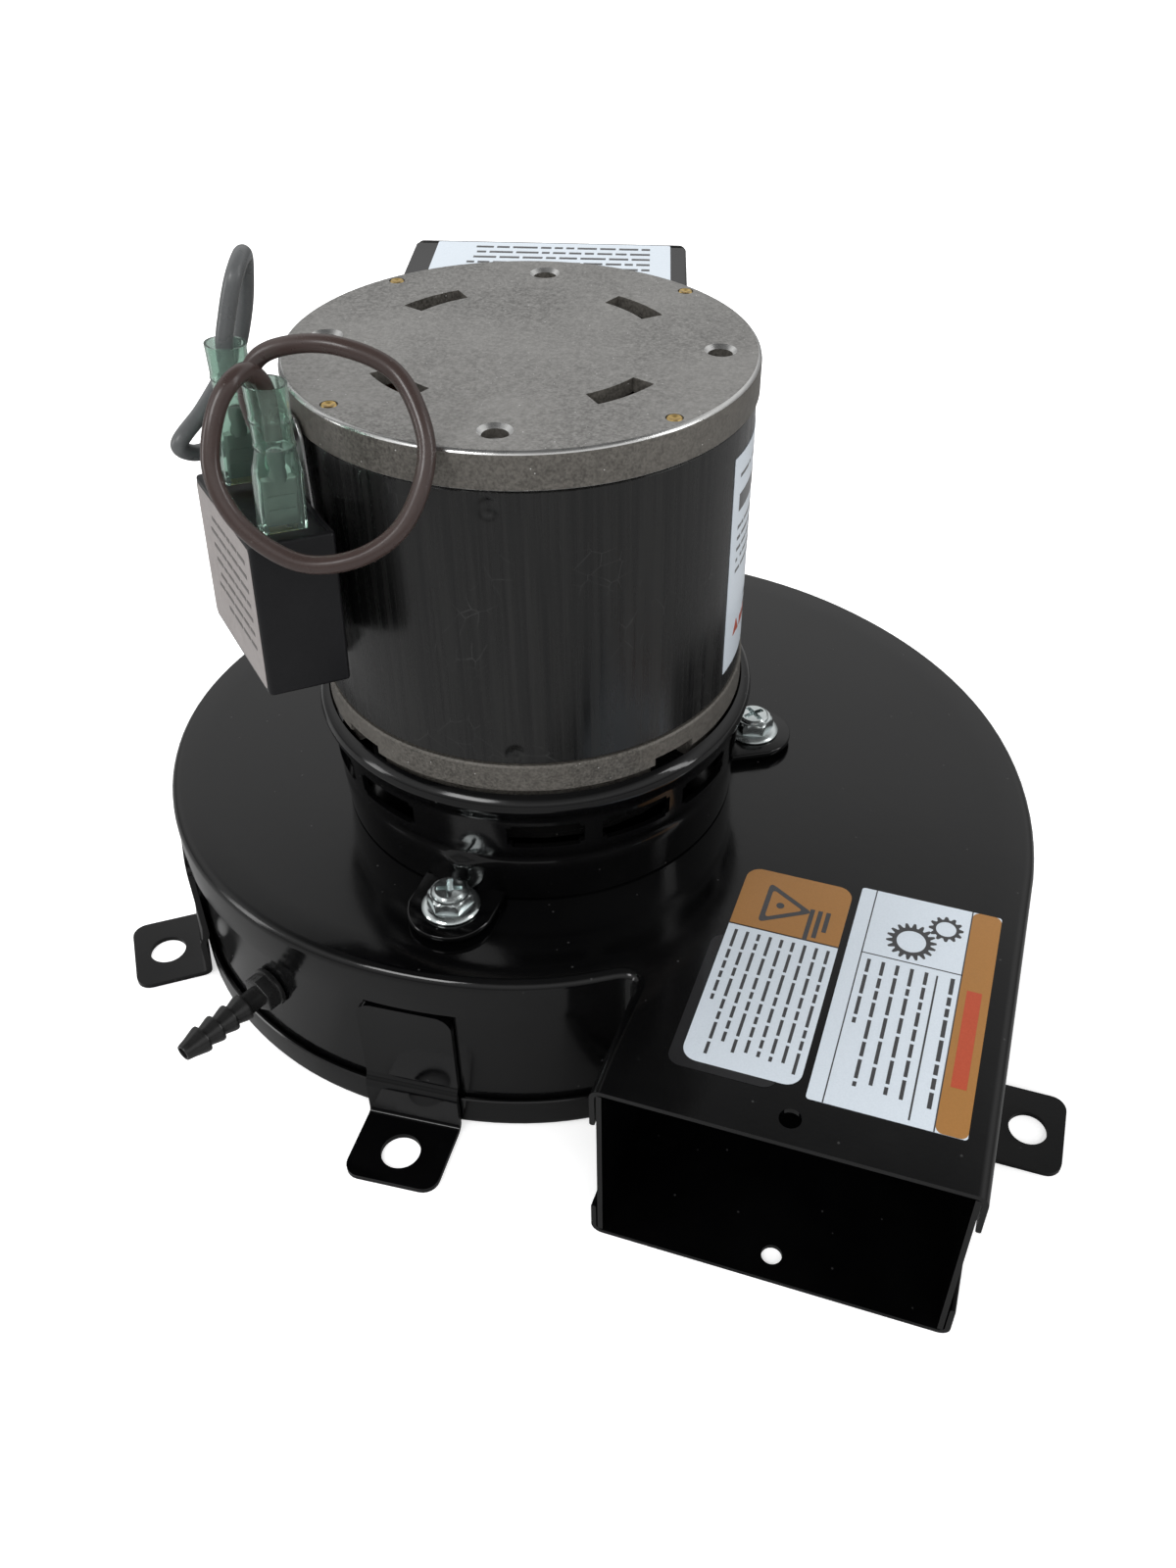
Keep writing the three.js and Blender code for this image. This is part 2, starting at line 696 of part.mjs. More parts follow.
// Laminated core with a round outside and twelve slots opening into the bore.
function buildStator() {
  const outline = new THREE.Shape();
  outline.absarc(0, 0, SPIGOT_RADIUS, 0, 2 * Math.PI, false);
  const teeth = 12;
  const pitch = 360 / teeth;
  const boreRadius = 22.4;
  const tipRadius = 25;
  const slotRadius = 34;
  const corners = [];
  for (let i = 0; i < teeth; i++) {
    const start = i * pitch;
    corners.push(
      polar(boreRadius, start),
      polar(boreRadius, start + 0.42 * pitch),
      polar(boreRadius, start + 0.84 * pitch),
      polar(tipRadius, start + 0.8 * pitch),
      polar(slotRadius, start + 0.7 * pitch),
      polar(slotRadius, start + 1.14 * pitch),
      polar(tipRadius, start + 1.04 * pitch),
    );
  }
  outline.holes.push(new THREE.Path([...corners, corners[0]]));
  addPiece("stator_core", "lamination", solid(slab(outline, STATOR_BOTTOM, STATOR_TOP, 16)));
}

function windingHead(low, high) {
  return turned(
    [
      [26, low],
      [35.5, low],
      [37, low + 2],
      [36.5, high - 2],
      [34, high],
      [28, high],
      [25.5, high - 2],
    ],
    24,
  );
}

function buildWindings() {
  addPiece("winding_top", "copper", solid(windingHead(STATOR_TOP + GAP, 127)));
  addPiece("winding_bottom", "copper", solid(windingHead(80, STATOR_BOTTOM - GAP)));
  const protector = roundedSlab(points([[-6, -3], [6, -3], [6, 3], [-6, 3]]), 127.4, 131.4, 0.8);
  addPiece("thermal_protector", "black_plastic", solid(placed(protector, polar(31, 60), 150)));
}

function buildRotor() {
  const core = ring(SHAFT_RADIUS + FIT_GAP, 22, STATOR_BOTTOM - 1, STATOR_TOP + 1, SHAFT_SIDES);
  addPiece("rotor_core", "lamination", solid(core));
  const shaft = turned(
    [
      [0, 14],
      [SHAFT_RADIUS - 0.5, 14],
      [SHAFT_RADIUS, 14.5],
      [SHAFT_RADIUS, 136],
      [SHAFT_RADIUS - 0.5, 136.5],
      [0, 136.5],
    ],
    SHAFT_SIDES,
  );
  addPiece("shaft", "steel", solid(shaft));
  const bore = SHAFT_RADIUS + RUNNING_GAP;
  addPiece("bearing_top", "brass", solid(ring(bore, BEARING_RADIUS, 127, 136.6, SHAFT_SIDES)));
  addPiece("bearing_bottom", "brass", solid(ring(bore, BEARING_RADIUS, 72.3, 83.6, SHAFT_SIDES)));
  addPiece("thrust_washer", "steel", solid(ring(bore + 0.5, 7, 125, 126.2, 16)));
}

// The fan that draws cooling air through the motor and throws it out of the adapter slots.
function buildCoolingFan() {
  const hub = ring(SHAFT_RADIUS + FIT_GAP, 7.5, 50, 62, SHAFT_SIDES);
  const disc = ring(7, 36, 55, 56.2, 32);
  const blades = [];
  for (let i = 0; i < 9; i++) {
    blades.push(solid(block([6.5, 35], [-0.6, 0.6], [55.5, 64]).rotateZ(radians(i * 40))));
  }
  const bore = cylinder(SHAFT_RADIUS + FIT_GAP, 40, 70, SHAFT_SIDES);
  addPiece("cooling_fan", "black_plastic", union([solid(hub), solid(disc), ...blades]).subtract(solid(bore)));
}

// ---- Impeller -----------------------------------------------------------------------------------

// One forward-curved blade, thin in plan, whose outer tip leans towards the direction of turning.
function bladeOutline() {
  const inner = [];
  const outer = [];
  const steps = 3;
  for (let i = 0; i <= steps; i++) {
    const share = i / steps;
    const radius = 43 + share * (IMPELLER_RADIUS - 0.4 - 43);
    const azimuth = -11 * share * share;
    outer.push(polar(radius, azimuth));
    inner.push(polar(radius, azimuth + 1.1));
  }
  return [...outer, ...inner.reverse()];
}

function buildImpeller() {
  const plateLow = IMPELLER_TOP - 1;
  const plate = ring(12, IMPELLER_RADIUS, plateLow, IMPELLER_TOP, 42);
  const rim = ring(42.6, IMPELLER_RADIUS, IMPELLER_FLOOR, IMPELLER_FLOOR + 1, 42);
  const blades = [];
  for (let i = 0; i < BLADE_COUNT; i++) {
    const blade = slab(bladeOutline(), IMPELLER_FLOOR + 0.5, plateLow + 0.5);
    blades.push(solid(blade.rotateZ((2 * Math.PI * i) / BLADE_COUNT)));
  }
  addPiece("impeller_wheel", "steel", union([solid(plate), solid(rim), ...blades]));

  const hub = turned(
    [
      [SHAFT_RADIUS + FIT_GAP, 21],
      [9, 21],
      [9, plateLow - 1.5],
      [14.5, plateLow - 1.5],
      [14.5, plateLow - GAP],
      [11.7, plateLow - GAP],
      [11.7, IMPELLER_TOP + 1],
      [SHAFT_RADIUS + FIT_GAP, IMPELLER_TOP + 1],
    ],
    SHAFT_SIDES,
  );
  const screwHeight = 27;
  const screwBore = laidDown(cylinder(2.2, 3.5, 12, 12)).translate(0, 0, screwHeight);
  addPiece("impeller_hub", "steel", solid(hub).subtract(solid(screwBore)));
  const screw = laidDown(cylinder(2.1, SHAFT_RADIUS + 0.1, 8.8, 12)).translate(0, 0, screwHeight);
  addPiece("impeller_setscrew", "zinc", solid(screw));
}

function buildShaftSeal() {
  const washer = ring(SHAFT_RADIUS + 0.6, 16, HOUSING_HEIGHT + GAP, HOUSING_HEIGHT + 2.6, SHAFT_SIDES);
  addPiece("shaft_seal", "seal_fibre", solid(washer));
}

// ---- Capacitor, its connectors and leads --------------------------------------------------------

// Moves a shape from a frame on the shell (x along the shell, y outwards from the motor axis, z up)
// to the side of the motor where the capacitor sits.
function besideCapacitor(geometry) {
  return geometry.rotateZ(radians(CAPACITOR.azimuth - 90));
}


function buildCapacitor() {
  const { width, depth, height } = CAPACITOR;
  const outline = roundedRectangle(-width / 2, width / 2, -depth / 2, depth / 2, 1.2).getPoints(1);
  const box = roundedSlab(outline, -height / 2, height / 2, 0.6);
  box.rotateX(radians(CAPACITOR_PITCH)).rotateY(radians(CAPACITOR_ROLL));
  box.translate(CAPACITOR.shift, CAPACITOR_BACK + depth / 2, CAPACITOR.middle);
  addPiece("capacitor", "black_plastic", solid(besideCapacitor(box)));
  for (const [side, terminal] of Object.entries(TERMINALS)) {
    buildTerminal(side, terminal);
  }
}

// A strap plate between the capacitor and the shell, with a shelf under the capacitor.
function buildCapacitorBracket() {
  const plate = points([[-6, 91], [3, 91], [3, 135], [1, 137.5], [-4, 137.5], [-6, 135]]);
  const near = SHIELD_RADIUS + GAP;
  const upright = stoodUp(slab(plate, -near - 0.6, -near));
  const shelf = block([-6, 3], [near, CAPACITOR_BACK + CAPACITOR.depth / 2], [91, 92]);
  const bracket = solid(upright).add(solid(shelf));
  addPiece("capacitor_bracket", "steel", solid(besideCapacitor(geometryOf(bracket))));
}

// A spade tab, the receptacle pushed on it, and the vinyl boot over both, leaning with the capacitor.
// Their widths run outwards from the motor and their thicknesses along the shell.
function buildTerminal(side, { x, base }) {
  const addLeaning = (name, slot, body) => {
    const leaning = geometryOf(body).rotateX(radians(CAPACITOR_PITCH));
    addPiece(name + "_" + side, slot, solid(besideCapacitor(leaning.translate(x, TERMINAL_REACH, base))));
  };
  addLeaning("terminal", "brass", solid(block([-0.3, 0.3], [-2.4, 2.4], [0.2, 8])));

  const sleeve = solid(block([-1, 1], [-2.9, 2.9], [1.5, 9.5]));
  const slot = solid(block([-0.55, 0.55], [-2.6, 2.6], [0, 9]));
  const barrel = solid(cylinder(1.4, 9, 14, 12));
  const bore = solid(cylinder(0.9, 10.5, 16, 12));
  addLeaning("receptacle", "zinc", sleeve.subtract(slot).add(barrel).subtract(bore));

  const outside = bootShape(2.05, 3.75, 3.25, BOOT.bottom, BOOT.mouth);
  const inside = bootShape(1.55, 3.25, 2.75, 0, BOOT.mouth + 1);
  addLeaning("boot", "boot_vinyl", outside.subtract(inside));
}

// A flat sleeve, tapered shoulders and a round neck that bends over, as one solid.
function bootShape(halfThickness, halfWidth, neckRadius, low, high) {
  const section = roundedRectangle(-halfThickness, halfThickness, -halfWidth, halfWidth, 0.9).getPoints(1);
  const disc = (top) => {
    const bend = (BOOT.bend * (top - BOOT.collar)) / (BOOT.mouth - BOOT.collar);
    return solid(cylinder(neckRadius, top - 0.2, top, 16).translate(bend, 0, 0));
  };
  const sleeve = solid(slab(section, low, BOOT.sleeve));
  const sleeveEnd = solid(slab(section, BOOT.sleeve - 0.2, BOOT.sleeve));
  const shoulders = wasm.Manifold.hull([sleeveEnd, disc(BOOT.collar)]);
  const neck = wasm.Manifold.hull([disc(BOOT.collar), disc(high)]);
  return union([sleeve, shoulders, neck]);
}

// A round lead along a smooth route.
function lead(route, steps) {
  const section = new THREE.Shape();
  section.absarc(0, 0, LEAD_RADIUS, 0, 2 * Math.PI, false);
  const corners = route.map((corner) => new THREE.Vector3(...corner));
  const extrudePath = new THREE.CatmullRomCurve3(corners, false, "centripetal");
  return new THREE.ExtrudeGeometry(section, { steps, extrudePath, curveSegments: 4 });
}

function buildLeads() {
  addPiece("lead_brown", "brown_pvc", solid(lead(BROWN_ROUTE, 58)));
  addPiece("lead_grey", "grey_pvc", solid(lead(GREY_ROUTE, 42)));
}

function buildGrommet() {
  const bore = GROMMET.holeRadius - 0.8;
  const flange = GROMMET.holeRadius + 1.4;
  const rubber = turned(
    [
      [bore, SHELL_RADIUS - 2],
      [GROMMET.holeRadius, SHELL_RADIUS - 2],
      [GROMMET.holeRadius, SHELL_RADIUS + GAP],
      [flange, SHELL_RADIUS + GAP],
      [flange, SHELL_RADIUS + 1.6],
      [bore, SHELL_RADIUS + 1.6],
    ],
    20,
  );
  addPiece("lead_grommet", "black_rubber", solid(atGrommet(rubber)));
}

// ---- Wiring box ---------------------------------------------------------------------------------

// A folded box behind the motor, open to the back, and the lid that closes it.
function buildWiringBox() {
  const { azimuth, depth, bottom, top, sheet } = BOX;
  const near = SHELL_RADIUS + 0.6;
  const far = near + depth;
  const half = BOX.width / 2;
  const outside = block([near, far - sheet - GAP], [-half, half], [bottom, top]);
  const inside = block([near + sheet, far], [-half + sheet, half - sheet], [bottom + sheet, top - sheet]);
  const tray = solid(outside.rotateZ(radians(azimuth))).subtract(solid(inside.rotateZ(radians(azimuth))));
  addPiece("wiring_box", "black_paint", tray);
  const cover = block([far - sheet, far], [-half, half], [bottom, top]);
  addPiece("wiring_box_cover", "black_paint", solid(cover.rotateZ(radians(azimuth))));
}

// ---- Assembly -----------------------------------------------------------------------------------

buildHousing();
buildPressureTap();
buildFeet();
buildAdapter();
buildAdapterScrews();
buildTopShield();
buildShieldPins();
buildShell();
buildBottomShield();
buildStator();
buildWindings();
buildRotor();
buildCoolingFan();
buildImpeller();
buildShaftSeal();
buildCapacitor();
buildCapacitorBracket();
buildGrommet();
buildLeads();
buildWiringBox();

// The part's own frame: z = 0 under the feet, with the bounding box centred on X and Y.
const bounds = new THREE.Box3().setFromObject(fan);
const centre = bounds.getCenter(new THREE.Vector3());
for (const mesh of fan.children) {
  mesh.geometry.translate(-centre.x, -centre.y, -bounds.min.z);
}

export default fan;
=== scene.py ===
# The finished looks of a combustion fan: a motor on a vented adapter above a pressed-steel scroll.
# Shapes are worked out in millimetres round the motor axis and moved into the frame at the end.
import math

import bmesh
import bpy
import numpy as np
from mathutils import Matrix, Vector


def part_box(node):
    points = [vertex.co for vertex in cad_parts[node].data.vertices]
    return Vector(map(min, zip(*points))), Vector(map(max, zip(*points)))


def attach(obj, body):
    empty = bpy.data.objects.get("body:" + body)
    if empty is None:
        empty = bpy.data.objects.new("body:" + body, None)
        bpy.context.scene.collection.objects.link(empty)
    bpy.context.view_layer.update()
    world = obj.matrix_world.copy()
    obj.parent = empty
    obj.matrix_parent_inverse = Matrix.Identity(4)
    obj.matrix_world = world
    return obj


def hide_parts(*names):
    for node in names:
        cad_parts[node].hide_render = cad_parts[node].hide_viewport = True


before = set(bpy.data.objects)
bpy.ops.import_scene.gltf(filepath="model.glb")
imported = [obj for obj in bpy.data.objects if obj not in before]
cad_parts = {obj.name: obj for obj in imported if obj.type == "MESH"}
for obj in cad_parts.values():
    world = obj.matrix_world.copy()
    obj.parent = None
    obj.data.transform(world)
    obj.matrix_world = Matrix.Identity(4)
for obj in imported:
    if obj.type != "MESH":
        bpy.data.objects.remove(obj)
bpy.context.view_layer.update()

MM = 0.001
shell_low, shell_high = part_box("motor_shell")
AXIS = np.array([(shell_low.x + shell_high.x) / 2, (shell_low.y + shell_high.y) / 2, 0.0])

# ---- Camera -------------------------------------------------------------------------------------

CAMERA_PLACE = (89.6, -213.5, 235.2)
CAMERA_AIM = (39.36, -44.96, 90.0)
CAMERA_ROLL = 1.34
LENS = 30.74
SENSOR = 36
SHIFT = (-0.0416, -0.0130)


def in_frame(points):
    """Millimetres from the foot of the motor axis, turned into the frame's metres."""
    return np.asarray(points, float) * MM + AXIS


def make_camera():
    data = bpy.data.cameras.new("camera")
    data.sensor_fit = "VERTICAL"
    data.sensor_height = SENSOR
    data.sensor_width = SENSOR
    data.lens = LENS
    data.shift_x, data.shift_y = SHIFT
    data.clip_start = 0.01
    data.clip_end = 20
    camera = bpy.data.objects.new("camera", data)
    place = Vector(in_frame(CAMERA_PLACE))
    aim = Vector(in_frame(CAMERA_AIM))
    turn = (aim - place).to_track_quat("-Z", "Y").to_matrix()
    roll = Matrix.Rotation(math.radians(CAMERA_ROLL), 3, "Z")
    camera.matrix_world = Matrix.Translation(place) @ (turn @ roll).to_4x4()
    bpy.context.scene.collection.objects.link(camera)
    bpy.context.scene.camera = camera


make_camera()

# ---- Mesh helpers -------------------------------------------------------------------------------


def polar(radius, azimuth, height):
    """Points at a radius and azimuth (degrees) round the motor axis, at a height."""
    angle = np.radians(azimuth)
    radius, angle, height = np.broadcast_arrays(radius, angle, height)
    return np.stack([radius * np.cos(angle), radius * np.sin(angle), height], -1)


def grid(points, wrap_rows=False, wrap_columns=False):
    """A surface from a rows x columns x 3 array: each quad joins neighbours in the two directions."""
    rows, columns = points.shape[:2]
    number = np.arange(rows * columns).reshape(rows, columns)
    if wrap_rows:
        number = np.vstack([number, number[:1]])
    if wrap_columns:
        number = np.hstack([number, number[:, :1]])
    corners = [number[:-1, :-1], number[:-1, 1:], number[1:, 1:], number[1:, :-1]]
    quads = np.stack(corners, -1).reshape(-1, 4)
    return points.reshape(-1, 3), quads.tolist()


def joined(*parts):
    """Several surfaces as one list of points and one of faces."""
    points = []
    faces = []
    count = 0
    for part_points, part_faces in parts:
        points.append(np.asarray(part_points, float))
        faces.extend([[corner + count for corner in face] for face in part_faces])
        count += len(part_points)
    return np.concatenate(points), faces


def lathe(profile, sides=144):
    """A closed profile of (radius, height) points turned all the way round the motor axis."""
    profile = np.asarray(profile, float)
    around = np.arange(sides) * 360 / sides
    points = polar(profile[:, 0], around[:, None], profile[:, 1])
    return grid(points, wrap_rows=True, wrap_columns=True)


def bend(start, corner, end, share):
    """A quadratic curve from the start to the end, drawn towards the corner."""
    return (1 - share) ** 2 * start + 2 * share * (1 - share) * corner + share**2 * end


def rounded(profile, radius, steps=4):
    """The closed profile with its corners replaced by short quadratic curves of that reach."""
    profile = np.asarray(profile, float)
    share = np.linspace(0, 1, steps + 1)[:, None]
    out = []
    for i, corner in enumerate(profile):
        before = profile[i - 1] - corner
        after = profile[(i + 1) % len(profile)] - corner
        reach = min(radius, np.linalg.norm(before) * 0.49, np.linalg.norm(after) * 0.49)
        start = corner + before / np.linalg.norm(before) * reach
        end = corner + after / np.linalg.norm(after) * reach
        out.append(bend(start, corner, end, share))
    return np.concatenate(out)


def upright(line, height):
    """A flat line of points at a height."""
    return np.column_stack([line, np.full(len(line), height)])


def slab(outline, low, high, rounding=0.0, steps=3):
    """A flat outline raised between two heights, its edges rounded by carrying it inwards."""
    outline = np.asarray(outline, float)
    turn = np.linspace(0, np.pi / 2, steps + 1) if rounding else np.zeros(1)
    inwards = rounding * (1 - np.sin(turn))
    rise = rounding * (1 - np.cos(turn))
    rings = [(shrink, low + lift) for shrink, lift in zip(inwards, rise)]
    rings += [(shrink, high - lift) for shrink, lift in zip(inwards[::-1], rise[::-1])]
    points = np.stack([upright(inset(outline, shrink), height) for shrink, height in rings])
    body, faces = grid(points, wrap_columns=True)
    count = len(outline)
    faces.append(list(range(count))[::-1])
    faces.append(list(range(len(body) - count, len(body))))
    return body, faces


def inset(outline, distance, closed=True):
    """The outline moved towards its left side, so inwards when it runs anticlockwise."""
    along = np.roll(outline, -1, 0) - outline
    if not closed:
        along[-1] = along[-2]
    along /= np.linalg.norm(along, axis=1)[:, None]
    left = np.column_stack([-along[:, 1], along[:, 0]])
    before = np.roll(left, 1, 0)
    if not closed:
        before[0] = left[0]
    side = left + before
    side /= np.linalg.norm(side, axis=1)[:, None]
    return outline + side * (distance / np.maximum((side * left).sum(1), 0.3))[:, None]


def rounded_rectangle(left, right, bottom, top, radius, steps=6):
    """Four quarter circles, anticlockwise."""
    turn = np.radians(np.linspace(0, 90, steps + 1))
    corners = [(right, top, 0), (left, top, 90), (left, bottom, 180), (right, bottom, 270)]
    parts = []
    for x, y, start in corners:
        centre_x = x - math.copysign(radius, x - (left + right) / 2)
        centre_y = y - math.copysign(radius, y - (bottom + top) / 2)
        angle = turn + math.radians(start)
        parts.append(np.column_stack([centre_x + radius * np.cos(angle), centre_y + radius * np.sin(angle)]))
    return np.concatenate(parts)


def circle(radius, sides=32, x=0.0, y=0.0):
    angle = np.arange(sides) * 2 * np.pi / sides
    return np.column_stack([x + radius * np.cos(angle), y + radius * np.sin(angle)])


def box(x, y, z):
    return slab([(x[0], y[0]), (x[1], y[0]), (x[1], y[1]), (x[0], y[1])], z[0], z[1])


def tube(path, radius, sides=24):
    """A circle carried along a path, turned as little as possible from one point to the next."""
    along = np.gradient(path, axis=0)
    along /= np.linalg.norm(along, axis=1)[:, None]
    slanting = (0.3, 0.5, 0.8)
    across = np.cross(along[0], slanting)
    sideways = []
    for direction in along:
        across = across - direction * (across @ direction)
        across = across / np.linalg.norm(across)
        sideways.append(across)
    sideways = np.array(sideways)
    other = np.cross(along, sideways)
    angle = (np.arange(sides) * 2 * np.pi / sides)[None, :, None]
    ring = np.cos(angle) * sideways[:, None] + np.sin(angle) * other[:, None]
    body, faces = grid(path[:, None] + radius * ring, wrap_columns=True)
    faces.append(list(range(sides)))
    faces.append(list(range(len(body) - sides, len(body)))[::-1])
    return body, faces


def cubic(start, end, leave, arrive, share):
    """A cubic from the start to the end that leaves and arrives with the given tangents."""
    square = 3 * (end - start) - 2 * leave - arrive
    cube = 2 * (start - end) + leave + arrive
    return start + leave * share + square * share**2 + cube * share**3


def smooth_route(route, per_span=10):
    """A centripetal Catmull-Rom curve: neighbours' tangents are weighted by the roots of the gaps."""
    route = np.asarray(route, float)
    padded = np.vstack([2 * route[0] - route[1], route, 2 * route[-1] - route[-2]])
    gaps = np.linalg.norm(np.diff(padded, axis=0), axis=1) ** 0.5
    share = np.linspace(0, 1, per_span, endpoint=False)[:, None]
    spans = []
    for i in range(len(route) - 1):
        before, start, end, after = padded[i:i + 4]
        first, middle, last = gaps[i:i + 3]
        leave = (start - before) / first - (end - before) / (first + middle) + (end - start) / middle
        arrive = (end - start) / middle - (after - start) / (middle + last) + (after - end) / last
        spans.append(cubic(start, end, leave * middle, arrive * middle, share))
    return np.concatenate([*spans, route[-1:]])


def turned(part, degrees, axis):
    """A part turned about the x, y or z axis (0, 1 or 2)."""
    points, faces = part
    angle = math.radians(degrees)
    points = np.array(points, float)
    first = points[:, (axis + 1) % 3].copy()
    second = points[:, (axis + 2) % 3].copy()
    points[:, (axis + 1) % 3] = first * math.cos(angle) - second * math.sin(angle)
    points[:, (axis + 2) % 3] = first * math.sin(angle) + second * math.cos(angle)
    return points, faces


def turned_about_axis(part, azimuth):
    """A part made along +X, turned to an azimuth."""
    return turned(part, azimuth, 2)


def moved(part, x=0.0, y=0.0, z=0.0):
    return np.asarray(part[0]) + (x, y, z), part[1]


def swapped(part, order, signs=(1, 1, 1)):
    """A part with its axes exchanged, such as a plate made flat that has to stand up."""
    return np.asarray(part[0])[:, list(order)] * np.asarray(signs), part[1]


def laid_outward(part):
    """A part made along +Z, laid down along +X."""
    return swapped(part, (2, 1, 0), (1, 1, -1))


def make_object(name, part, merge=True):
    """The part as an object at the origin, with its doubled points merged and its faces outwards."""
    points, faces = part
    mesh = bpy.data.meshes.new(name)
    mesh.from_pydata(in_frame(points).tolist(), [], [tuple(face) for face in faces])
    work = bmesh.new()
    work.from_mesh(mesh)
    if merge:
        bmesh.ops.remove_doubles(work, verts=work.verts, dist=2e-6)
        bmesh.ops.dissolve_degenerate(work, edges=work.edges, dist=1e-6)
    bmesh.ops.recalc_face_normals(work, faces=work.faces)
    work.to_mesh(mesh)
    work.free()
    thing = bpy.data.objects.new(name, mesh)
    bpy.context.scene.collection.objects.link(thing)
    return thing


def evaluated(thing):
    """The object's mesh with its modifiers applied, and the modifiers taken off."""
    depsgraph = bpy.context.evaluated_depsgraph_get()
    mesh = bpy.data.meshes.new_from_object(thing.evaluated_get(depsgraph))
    thing.modifiers.clear()
    thing.data = mesh


def boolean(thing, part, operation):
    tool = make_object("tool", part)
    step = thing.modifiers.new("boolean", "BOOLEAN")
    step.operation = operation
    step.solver = "EXACT"
    step.object = tool
    evaluated(thing)
    bpy.data.objects.remove(tool)


def finish(thing, name, material, node, body="housing", smooth=35.0):
    """Smoothing up to an angle, the material, the body, and hiding the CAD node it stands for."""
    thing.name = name
    mesh = thing.data
    mesh.polygons.foreach_set("use_smooth", [True] * len(mesh.polygons))
    mesh.set_sharp_from_angle(angle=math.radians(smooth))
    mesh.materials.clear()
    mesh.materials.append(material)
    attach(thing, body)
    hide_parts(node)
    return thing


def piece(name, part, material, node, body="housing", adds=(), cuts=(), smooth=35.0):
    """One finished piece: its mesh, what is joined to it and then cut from it, and its finish."""
    thing = make_object(name, part)
    for added in adds:
        boolean(thing, added, "UNION")
    if cuts:
        boolean(thing, joined(*cuts), "DIFFERENCE")
    return finish(thing, name, material, node, body, smooth)


# ---- Shader helpers -----------------------------------------------------------------------------


def add(tree, kind, settings=None, inputs=None):
    """A node with its settings, and its inputs linked to a socket or set to a value."""
    node = tree.nodes.new(kind)
    for name, value in (settings or {}).items():
        setattr(node, name, value)
    for name, value in (inputs or {}).items():
        if isinstance(value, bpy.types.NodeSocket):
            tree.links.new(value, node.inputs[name])
        else:
            node.inputs[name].default_value = value
    return node


def blend_colours(tree, share, first, second):
    node = add(tree, "ShaderNodeMix", {"data_type": "RGBA"})
    for index, value in ((0, share), (6, first), (7, second)):
        if isinstance(value, bpy.types.NodeSocket):
            tree.links.new(value, node.inputs[index])
        else:
            node.inputs[index].default_value = value if index == 0 else (*value, 1)
    return node.outputs[2]


def remap(tree, value, low, high, to_low, to_high):
    inputs = {"Value": value, "From Min": low, "From Max": high, "To Min": to_low, "To Max": to_high}
    return add(tree, "ShaderNodeMapRange", None, inputs).outputs[0]


def maths(tree, operation, first, second):
    return add(tree, "ShaderNodeMath", {"operation": operation}, {0: first, 1: second}).outputs[0]


def object_place(tree):
    return add(tree, "ShaderNodeTexCoord").outputs["Object"]


def noise(tree, place, scale, detail=2.0, roughness=0.5):
    inputs = {"Vector": place, "Scale": scale, "Detail": detail, "Roughness": roughness}
    return add(tree, "ShaderNodeTexNoise", None, inputs).outputs["Fac"]


def object_noise(tree, scale, detail=3.0, stretch=(1, 1, 1)):
    """Noise on object coordinates, in cycles per metre, squeezed or stretched along the axes."""
    mapping = add(tree, "ShaderNodeMapping", None, {"Vector": object_place(tree), "Scale": stretch})
    return noise(tree, mapping.outputs[0], scale, detail)


def new_group(name, numbers, outputs):
    """A node group with float inputs and float outputs. Returns its tree, input node and output node."""
    tree = bpy.data.node_groups.new(name, "ShaderNodeTree")
    for title, value in numbers.items():
        socket = tree.interface.new_socket(title, in_out="INPUT", socket_type="NodeSocketFloat")
        socket.default_value = value
    for title in outputs:
        tree.interface.new_socket(title, in_out="OUTPUT", socket_type="NodeSocketFloat")
    return tree, tree.nodes.new("NodeGroupInput"), tree.nodes.new("NodeGroupOutput")


def handling_group():
    """Handling: soft smudges, sparse specks and fine random scratches, as masks from 0 to 1; the specks are
    dust on most materials and painted glints on the cast aluminium.
    """
    numbers = {"Smudge Scale": 30.0, "Speck Scale": 900.0, "Scratch Scale": 160.0}
    tree, given, out = new_group("handling", numbers, ["Smudge", "Speck", "Scratch"])
    place = object_place(tree)
    smudge = noise(tree, place, given.outputs["Smudge Scale"], 5.0, 0.6)
    tree.links.new(remap(tree, smudge, 0.42, 0.68, 0, 1), out.inputs["Smudge"])
    speck = add(tree, "ShaderNodeTexVoronoi", None, {
        "Vector": place, "Scale": given.outputs["Speck Scale"], "Randomness": 1.0,
    })
    rare = add(tree, "ShaderNodeSeparateColor", None, {"Color": speck.outputs["Color"]}).outputs[0]
    near = remap(tree, speck.outputs["Distance"], 0.10, 0.22, 1, 0)
    chosen = remap(tree, rare, 0.975, 0.98, 0, 1)
    tree.links.new(maths(tree, "MULTIPLY", near, chosen), out.inputs["Speck"])
    drift = add(tree, "ShaderNodeTexNoise", None, {"Vector": place, "Scale": 45.0, "Detail": 1.0})
    shifted = add(tree, "ShaderNodeVectorMath", {"operation": "MULTIPLY_ADD"}, {
        0: drift.outputs["Color"], 1: (0.02, 0.02, 0.02), 2: place,
    })
    hair = add(tree, "ShaderNodeTexVoronoi", {"feature": "DISTANCE_TO_EDGE"}, {
        "Vector": shifted.outputs[0], "Scale": given.outputs["Scratch Scale"],
    })
    line = remap(tree, hair.outputs["Distance"], 0.0, 0.018, 1, 0)
    patch = remap(tree, smudge, 0.55, 0.62, 0, 1)
    tree.links.new(maths(tree, "MULTIPLY", line, patch), out.inputs["Scratch"])
    return tree


